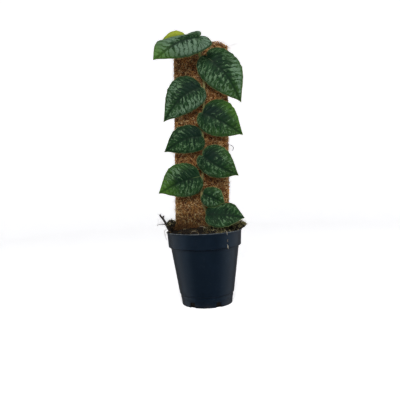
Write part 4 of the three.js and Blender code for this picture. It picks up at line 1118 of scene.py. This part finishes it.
# The silver shades stand partly for the leaf's own silver and partly for painted glints of light.
LEAF = Sizes(
    green=(13, 42, 18), light=(24, 60, 25), deep=(6, 33, 24), vein=(7, 31, 17),
    silver=(112, 139, 115), green_silver=(98, 130, 90), lime=(72, 112, 30), edge=(132, 146, 96),
    rib=(112, 140, 78), under=(92, 118, 74), under_dark=(80, 106, 66), under_vein=(118, 140, 92),
)
FACE = np.array((0, -1, 0))
STRENGTHS = ("silver", "lime", "deep", "pale")


def bezier(*corners, count=200):
    t = np.linspace(0, 1, count)[:, None]
    p0, p1, p2, p3 = np.array(corners, float)
    return (1 - t) ** 3 * p0 + 3 * t * (1 - t) ** 2 * p1 + 3 * t * t * (1 - t) * p2 + t ** 3 * p3


def half_outline(length, steps, drawn_in, wide, at, lobe, back=BLADE.back):
    """Evenly spaced points from the notch at the stalk round the lobe to the tip, along and across. Near
    the tip the width is drawn in by a share, which leaves the drip tip."""
    start = wide * (0.04 + 0.4 * (back - BLADE.back))
    turn = wide * 0.29 * back / BLADE.back
    behind, beyond = at + lobe, length - at
    line = np.vstack([
        bezier((0, 0), (-lobe * 0.7, 0), (-lobe, start), (-lobe, turn)),
        bezier((-lobe, turn), (-lobe, wide * min(1, back)), (at - behind * 0.62, wide), (at, wide))[1:],
        bezier((at, wide), (at + beyond * 0.42, wide), (length - beyond * 0.33, wide * 0.38),
               (length, 0))[1:],
    ])
    gone = np.append(0, np.cumsum(np.hypot(*np.diff(line, axis=0).T)))
    wanted = np.linspace(0, gone[-1], steps + 1)
    along, across = (np.interp(wanted, gone, column) for column in line.T)
    near = np.clip((along / length - BLADE.point_from) / (1 - BLADE.point_from), 0, 1)
    return np.stack([along, across * (1 - drawn_in * near * near * (3 - 2 * near))], 1)


def bowed(leaf, s):
    """How far the midrib lies to the left of a straight line."""
    return leaf.bow * np.sin(np.pi * s) * (1 + 0.25 * np.cos(np.pi * s))


def blade_points(leaf, s, side=1, off_along=0.0, off_across=0.0, share=0.0, swell=0.0):
    """Points of a blade on the board: s along the midrib, off it along and across on the left (1) or
    right (-1) half, share of the way to the margin, and lifted by swell."""
    aim = math.radians(leaf.aim)
    along = np.array((math.cos(aim), 0, math.sin(aim)))
    across = np.array((-math.sin(aim), 0, math.cos(aim)))
    s, off_along, off_across, share, swell = np.broadcast_arrays(s, off_along, off_across, share, swell)
    first_tilt, last_tilt = leaf.tilt
    tilt = np.radians(first_tilt + (last_tilt - first_tilt) * s)[..., None] * np.sign(across[2])
    over = across * np.cos(tilt) - FACE * np.sin(tilt)
    lift = FACE * np.cos(tilt) + across * np.sin(tilt)
    inner, outer = getattr(leaf, "fold", (FLAT, FLAT))[0 if side > 0 else 1]
    hang = np.radians(inner + (outer - inner) * share)
    rise = 2.2 * np.sin(np.pi * s) - leaf.drop * s * s
    base = np.array((leaf.at[0], board_front - leaf.out, leaf.at[1]))
    return (base + along * (s * leaf.length + off_along)[..., None]
            + over * (bowed(leaf, s) + side * off_across * np.cos(hang))[..., None]
            + lift * (rise + swell - off_across * np.sin(hang))[..., None])


def faded(value, low, reach):
    """From 0 at a low value to 1 at a reach past it."""
    return np.clip((value - low) / reach, 0, 1)


def half_strengths(leaf, s, share, lower):
    """How strongly each mark shows on the lower or the upper half of a blade."""
    low_silver_and_glint, high_silver_and_glint, tip_lime, edge_lime, deep, pale = leaf.marks
    silver = low_silver_and_glint if lower else high_silver_and_glint
    silver = silver * (0.45 + 0.55 * faded(s + 0.35 * share, 0.0 if lower else 0.2, 0.3))
    silver = silver * (0.75 + 0.25 * share if lower else np.clip(0.25 + 1.1 * share, 0, 1))
    lime = edge_lime * (0.35 if lower else 1.0) * faded(share, 0.45, 0.5) * np.clip(s * 3 + 0.3, 0, 1)
    lime = np.maximum(tip_lime * faded(s + 0.22 * share, 0.52, 0.4), lime)
    dark = deep * (1 - faded(s, 0.1, 0.55)) * (0.45 if lower else 1.0) * np.clip(1.35 - share, 0, 1)
    paleness = np.clip((pale - s) / 0.12, 0, 1) * (pale > 0) + 0 * share
    return np.stack([silver, lime, dark, paleness], -1)


def blade_skin(leaf, number):
    """The blade's points, faces and materials, and the places and strengths that its colours follow."""
    length, rings = leaf.length, BLADE.rings
    fine = round(length / BLADE.spacing) * BLADE.fine
    line = np.arange(fine + 1) / BLADE.fine
    low_side = 1 if math.cos(math.radians(leaf.aim)) < 0 else -1
    margins = {}
    for side, half in ((1, leaf.left), (-1, leaf.right)):
        margin = half_outline(length, fine, BLADE.drawn_in if side == low_side else 0, *half)
        uneven = np.sin(line * 3.1 + number + side) + 0.7 * np.sin(line * 5.3 + 2 * number)
        margin[:, 1] *= 1 + BLADE.uneven * uneven * np.sin(np.pi * line / line[-1])
        margins[side] = margin
    starts = sum(m[:, 0] - BLADE.slant * m[:, 1] for m in margins.values()) / (2 * length)
    starts = np.clip(starts, 0, 1)
    starts[-1] = 1
    s, share = starts[:, None], np.linspace(0, 1, rings + 1)[None]
    row = line[:, None]
    puff = np.abs(np.sin(np.pi * row)) ** 0.7 * 2 - 1
    index, points, strength, grid = {}, [], [], {}
    for side, margin in margins.items():
        reach = np.maximum(0, margin[:, 1:] - side * bowed(leaf, s))
        along = margin[:, :1] - s * length
        size = np.hypot(along, reach)
        span = np.minimum(1, size / 8)
        wave = np.sin(row * 1.9 + leaf.aim + side) + 0.6 * np.sin(row * 3.7 + leaf.at[1])
        swell = span * np.sin(np.pi * share) ** 0.6 * BLADE.quilt * puff
        swell = swell + span * (BLADE.ripple * wave * share ** 3 - BLADE.curl * share ** 7)
        swell = swell - 0.45 * span * np.exp(-(share * reach / 1.1) ** 2) * (1 - s)
        place = blade_points(leaf, s, side, along * share ** 1.25, reach * share, share, swell)
        strong = half_strengths(leaf, s, share, side == low_side)
        numbers = np.empty(place.shape[:2], int)
        for cell in np.ndindex(numbers.shape):
            key = tuple(np.round(place[cell] * BLADE.point_grid).astype(int))
            if key not in index:
                index[key] = len(points)
                points.append(place[cell])
                strength.append(strong[cell])
            numbers[cell] = index[key]
        grid[side] = numbers, size * share, size * (1 - share), line + 40 * number + (20 if side < 0 else 0)
    points, strength = np.array(points), np.array(strength)
    faces, corners, edges, laid = [], [], [], set()
    for side, (numbers, from_rib, to_margin, lines) in grid.items():
        for i in range(fine):
            for ring in range(rings):
                cells = [(i, ring), (i + 1, ring), (i + 1, ring + 1), (i, ring + 1)][::side]
                kept = [cell for k, cell in enumerate(cells) if numbers[cell] != numbers[cells[k - 1]]]
                key = frozenset(numbers[cell] for cell in kept)
                if len(key) == len(kept) > 2 and key not in laid:
                    laid.add(key)
                    faces.append([numbers[cell] for cell in kept])
                    corners.append([(lines[a], b / rings, from_rib[a, b], to_margin[a, b]) for a, b in kept])
            a, b = numbers[i, rings], numbers[i + 1, rings]
            if a != b:
                edges.append([(a, lines[i]), (b, lines[i + 1])][::side])
    normals = np.zeros_like(points)
    for face in faces:
        normal = np.cross(points[face[1]] - points[face[0]], points[face[2]] - points[face[0]])
        for k in face:
            normals[k] += normal
    normals /= np.linalg.norm(normals, axis=1)[:, None] + 1e-12
    half = BLADE.thickness / 2
    count = len(points)
    all_points = np.vstack([points + normals * half, points - normals * half])
    all_faces = faces + [[k + count for k in face[::-1]] for face in faces]
    all_corners = corners + [face[::-1] for face in corners]
    for (a, line_a), (b, line_b) in edges:
        all_faces.append([a, a + count, b + count, b])
        all_corners.append([(line_a, 1, 20, 0)] * 2 + [(line_b, 1, 20, 0)] * 2)
    kinds = [0] * len(faces) + [1] * len(faces) + [0] * len(edges)
    return all_points, all_faces, kinds, all_corners, np.vstack([strength, strength])


def leaf_stalk(leaf, joint):
    """The stalk from its joint on the stem, running on as a rib under the blade."""
    centre = stem_at(joint)
    out = np.array((min(1, max(-1, (leaf.at[0] - centre[0]) * 0.12)), -1, 0.25))
    out /= np.linalg.norm(out)
    base = centre + out * (STEM.node + STEM.gap - 1.2)
    rib = []
    for s in STALK.rib:
        radius = STALK.base + (STALK.tip - STALK.base) * s
        below = BLADE.thickness / 2 + radius * 0.9 + 0.35 + (1.3 if s < 0.05 else 0)
        rib.append(blade_points(leaf, s) - FACE * below)
    return tube([base, base + out * 3.4, *rib], STALK.radii, 48, 12, 0.02)


def veined(given):
    """A shingle leaf's marks: dark bands on its rib and side veins, and silver streaks between them, partly
    the leaf's own silver and partly painted glints of light.
    """
    place, share = given["Place"], given["Share"]
    bent = plus(given["Line"], times(minus(cloud(place, 110.0, 4.0, 0.65), 0.5), 1.9))
    between = times(maths("PINGPONG", bent, 0.5), 2.0)
    near = step(share, 0.0, 0.55, 0.26, 0.0)
    main = step(between, plus(near, 0.38), plus(near, 0.08))
    main = times(main, step(cloud(place, 60.0, 2.0), 0.3, 0.6, 0.55, 1.0))
    loop = maths("ABSOLUTE", minus(share, step(between, 0.0, 1.0, 0.84, 0.93)))
    bands = maths("MAXIMUM", main, step(given["From rib"], 3.0, 1.0))
    bands = maths("MAXIMUM", bands, times(step(loop, 0.045, 0.012), 0.5))
    cover = []
    for lines, outward, roughness, weight in ((1.9, 2.6, 0.55, 1.2), (4.2, 5.0, 0.6, 1.1)):
        flow = node("CombineXYZ", {"X": times(bent, lines), "Y": times(share, outward)}).outputs[0]
        cover.append(times(cloud(flow, 1.0, 2.0, roughness), weight))
    cover = plus(*cover, times(cloud(place, 620.0, 3.0, 0.7), 0.25), times(given["Silver and glint"], 0.62))
    # The silver streaks: partly the leaf's own silver, partly painted glints of light on the quilted blade.
    patch = times(step(cover, 1.49, 1.70), minus(1.0, bands))
    cells = {"Vector": place, "Scale": 700.0, "Randomness": 1.0}
    net = step(node("TexVoronoi", cells, feature="DISTANCE_TO_EDGE").outputs["Distance"], 0.02, 0.2)
    patch = times(patch, step(net, 0.0, 1.0, 0.5, 1.0))
    patch = times(patch, step(given["To margin"], 0.8, 3.0))
    edge = step(given["To margin"], 1.0, 0.3)
    return {"Bands": bands, "Silver and glint": patch, "Edge": edge, "Relief": minus(times(net, 0.45), main)}


veins = group("Shingle leaf veins", ["Place", "Line", "Share", "From rib", "To margin", "Silver and glint"],
              ["Bands", "Silver and glint", "Edge", "Relief"], veined)


def leaf_marks(place):
    """The vein group with a blade's own places wired in, and the distance from its midrib."""
    tree = place.id_data
    line = axes(node("UVMap", {}, tree, uv_map="Veins").outputs[0])
    reach = axes(node("UVMap", {}, tree, uv_map="Reach").outputs[0])
    from_rib = times(reach["X"], 100.0)
    made = use(veins, {
        "Place": place, "Line": line["X"], "Share": line["Y"], "Silver and glint": carried(place, "silver"),
        "From rib": from_rib, "To margin": times(reach["Y"], 100.0),
    })
    return made, from_rib


upper, shader, place = material("leaf_upper", Specular_IOR_Level=0.11)
made, from_rib = leaf_marks(place)
mottle = cloud(place, 75.0, 4.0)
lime = carried(place, "lime")
lime_part = times(lime, step(made["Bands"], 0.0, 1.0, 1.0, 0.45))
# Silver streaks laid over the green: partly the leaf's own silver and partly painted glints of light.
silver_and_glint_part = times(made["Silver and glint"], minus(0.95, times(lime, 0.6)))
silver_and_glint_tone = two_tone(step(carried(place, "silver"), 0.3, 0.7), LEAF.green_silver, LEAF.silver)
pale_rib = times(step(from_rib, 0.7, 0.3), carried(place, "pale"))
tone = over(
    two_tone(step(mottle, 0.3, 0.7), LEAF.green, LEAF.light),
    (LEAF.deep, carried(place, "deep"), 1), (LEAF.vein, made["Bands"], 0.75), (LEAF.lime, lime_part, 1),
)
tone = blend(silver_and_glint_part, tone, silver_and_glint_tone)
tone = over(tone, (LEAF.rib, pale_rib, 0.5), (LEAF.edge, made["Edge"], 0.7))
feed(shader, Base_Color=tone, Roughness=step(mottle, 0.3, 0.7, 0.36, 0.46))
bump(shader, plus(made["Relief"], times(cloud(place, 1800.0, 2.0), 0.2)), 0.22)

lower_face, shader, place = material("leaf_lower", Roughness=0.6)
made, _ = leaf_marks(place)
tone = two_tone(step(cloud(place, 75.0, 4.0), 0.3, 0.7), LEAF.under, LEAF.under_dark)
feed(shader, Base_Color=over(tone, (LEAF.under_vein, made["Bands"], 0.5)))
bump(shader, times(made["Relief"], -1.0), 0.22)

stalk_skin, shader, place = material("leaf_stalk", Specular_IOR_Level=0.5)
marks = use(wear, {"Place": place})
stripe = streaked(place, (500.0, 500.0, 60.0), 3.0)
tone = two_tone(step(stripe, 0.35, 0.65), (96, 118, 56), (126, 136, 72))
feed(shader, Base_Color=over(tone, ((118, 92, 50), marks["Bloom"], 0.5)),
     Roughness=step(stripe, 0.3, 0.7, 0.4, 0.55))
bump(shader, stripe, 0.12)


def leaf_piece(name, materials):
    """One leaf, blade and stalk, with its places and strengths written for its materials."""
    leaf, number = LEAVES[name], list(LEAVES).index(name)
    points, faces, kinds, corners, strength = blade_skin(leaf, number)
    stalk_points, stalk_faces = leaf_stalk(leaf, STEM.joints[number])
    faces += [[k + len(points) for k in face] for face in stalk_faces]
    kinds += [2] * len(stalk_faces)
    corners += [[(0, 0, 0, 20)] * len(face) for face in stalk_faces]
    piece = mesh_piece(name, on_board(np.vstack([points, stalk_points])), faces, materials, kinds, tidy=True)
    order = {frozenset(face): dict(zip(face, face_corners)) for face, face_corners in zip(faces, corners)}
    vein_map, reach_map = piece.data.uv_layers.new(name="Veins"), piece.data.uv_layers.new(name="Reach")
    for polygon in piece.data.polygons:
        corner = order[frozenset(polygon.vertices)]
        for loop, vertex in zip(polygon.loop_indices, polygon.vertices):
            line, share, from_rib, to_margin = corner[vertex]
            vein_map.data[loop].uv = (line, share)
            reach_map.data[loop].uv = (from_rib / 100, to_margin / 100)
    strength = np.vstack([strength, np.zeros((len(stalk_points), len(STRENGTHS)))])
    for label, column in zip(STRENGTHS, strength.T):
        paint(piece, label, column)
    return piece


for name in LEAVES:
    if name != "young_leaf":
        leaf = leaf_piece(name, [upper, lower_face, stalk_skin])
        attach(leaf, "root")
        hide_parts(name)

# Young leaf. The newest blade stands behind the top leaf. It is still thin, soft and yellow-green, with
# faint veins and no silver yet, and its halves are half unrolled.
YOUNG = Sizes(light=(134, 148, 38), dark=(112, 126, 32), vein=(112, 134, 40), rim=(160, 168, 60))
fresh, shader, place = material("young_leaf_upper", Roughness=0.42, Specular_IOR_Level=0.15)
made, from_rib = leaf_marks(place)
tone = two_tone(step(cloud(place, 60.0, 3.0), 0.3, 0.7), YOUNG.light, YOUNG.dark)
tone = over(tone, (YOUNG.vein, made["Bands"], 0.35), (YOUNG.rim, step(from_rib, 9.0, 14.0), 0.5))
feed(shader, Base_Color=tone)
bump(shader, made["Relief"], 0.15)
young = leaf_piece("young_leaf", [fresh, fresh, stalk_skin])
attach(young, "root")
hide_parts("young_leaf")
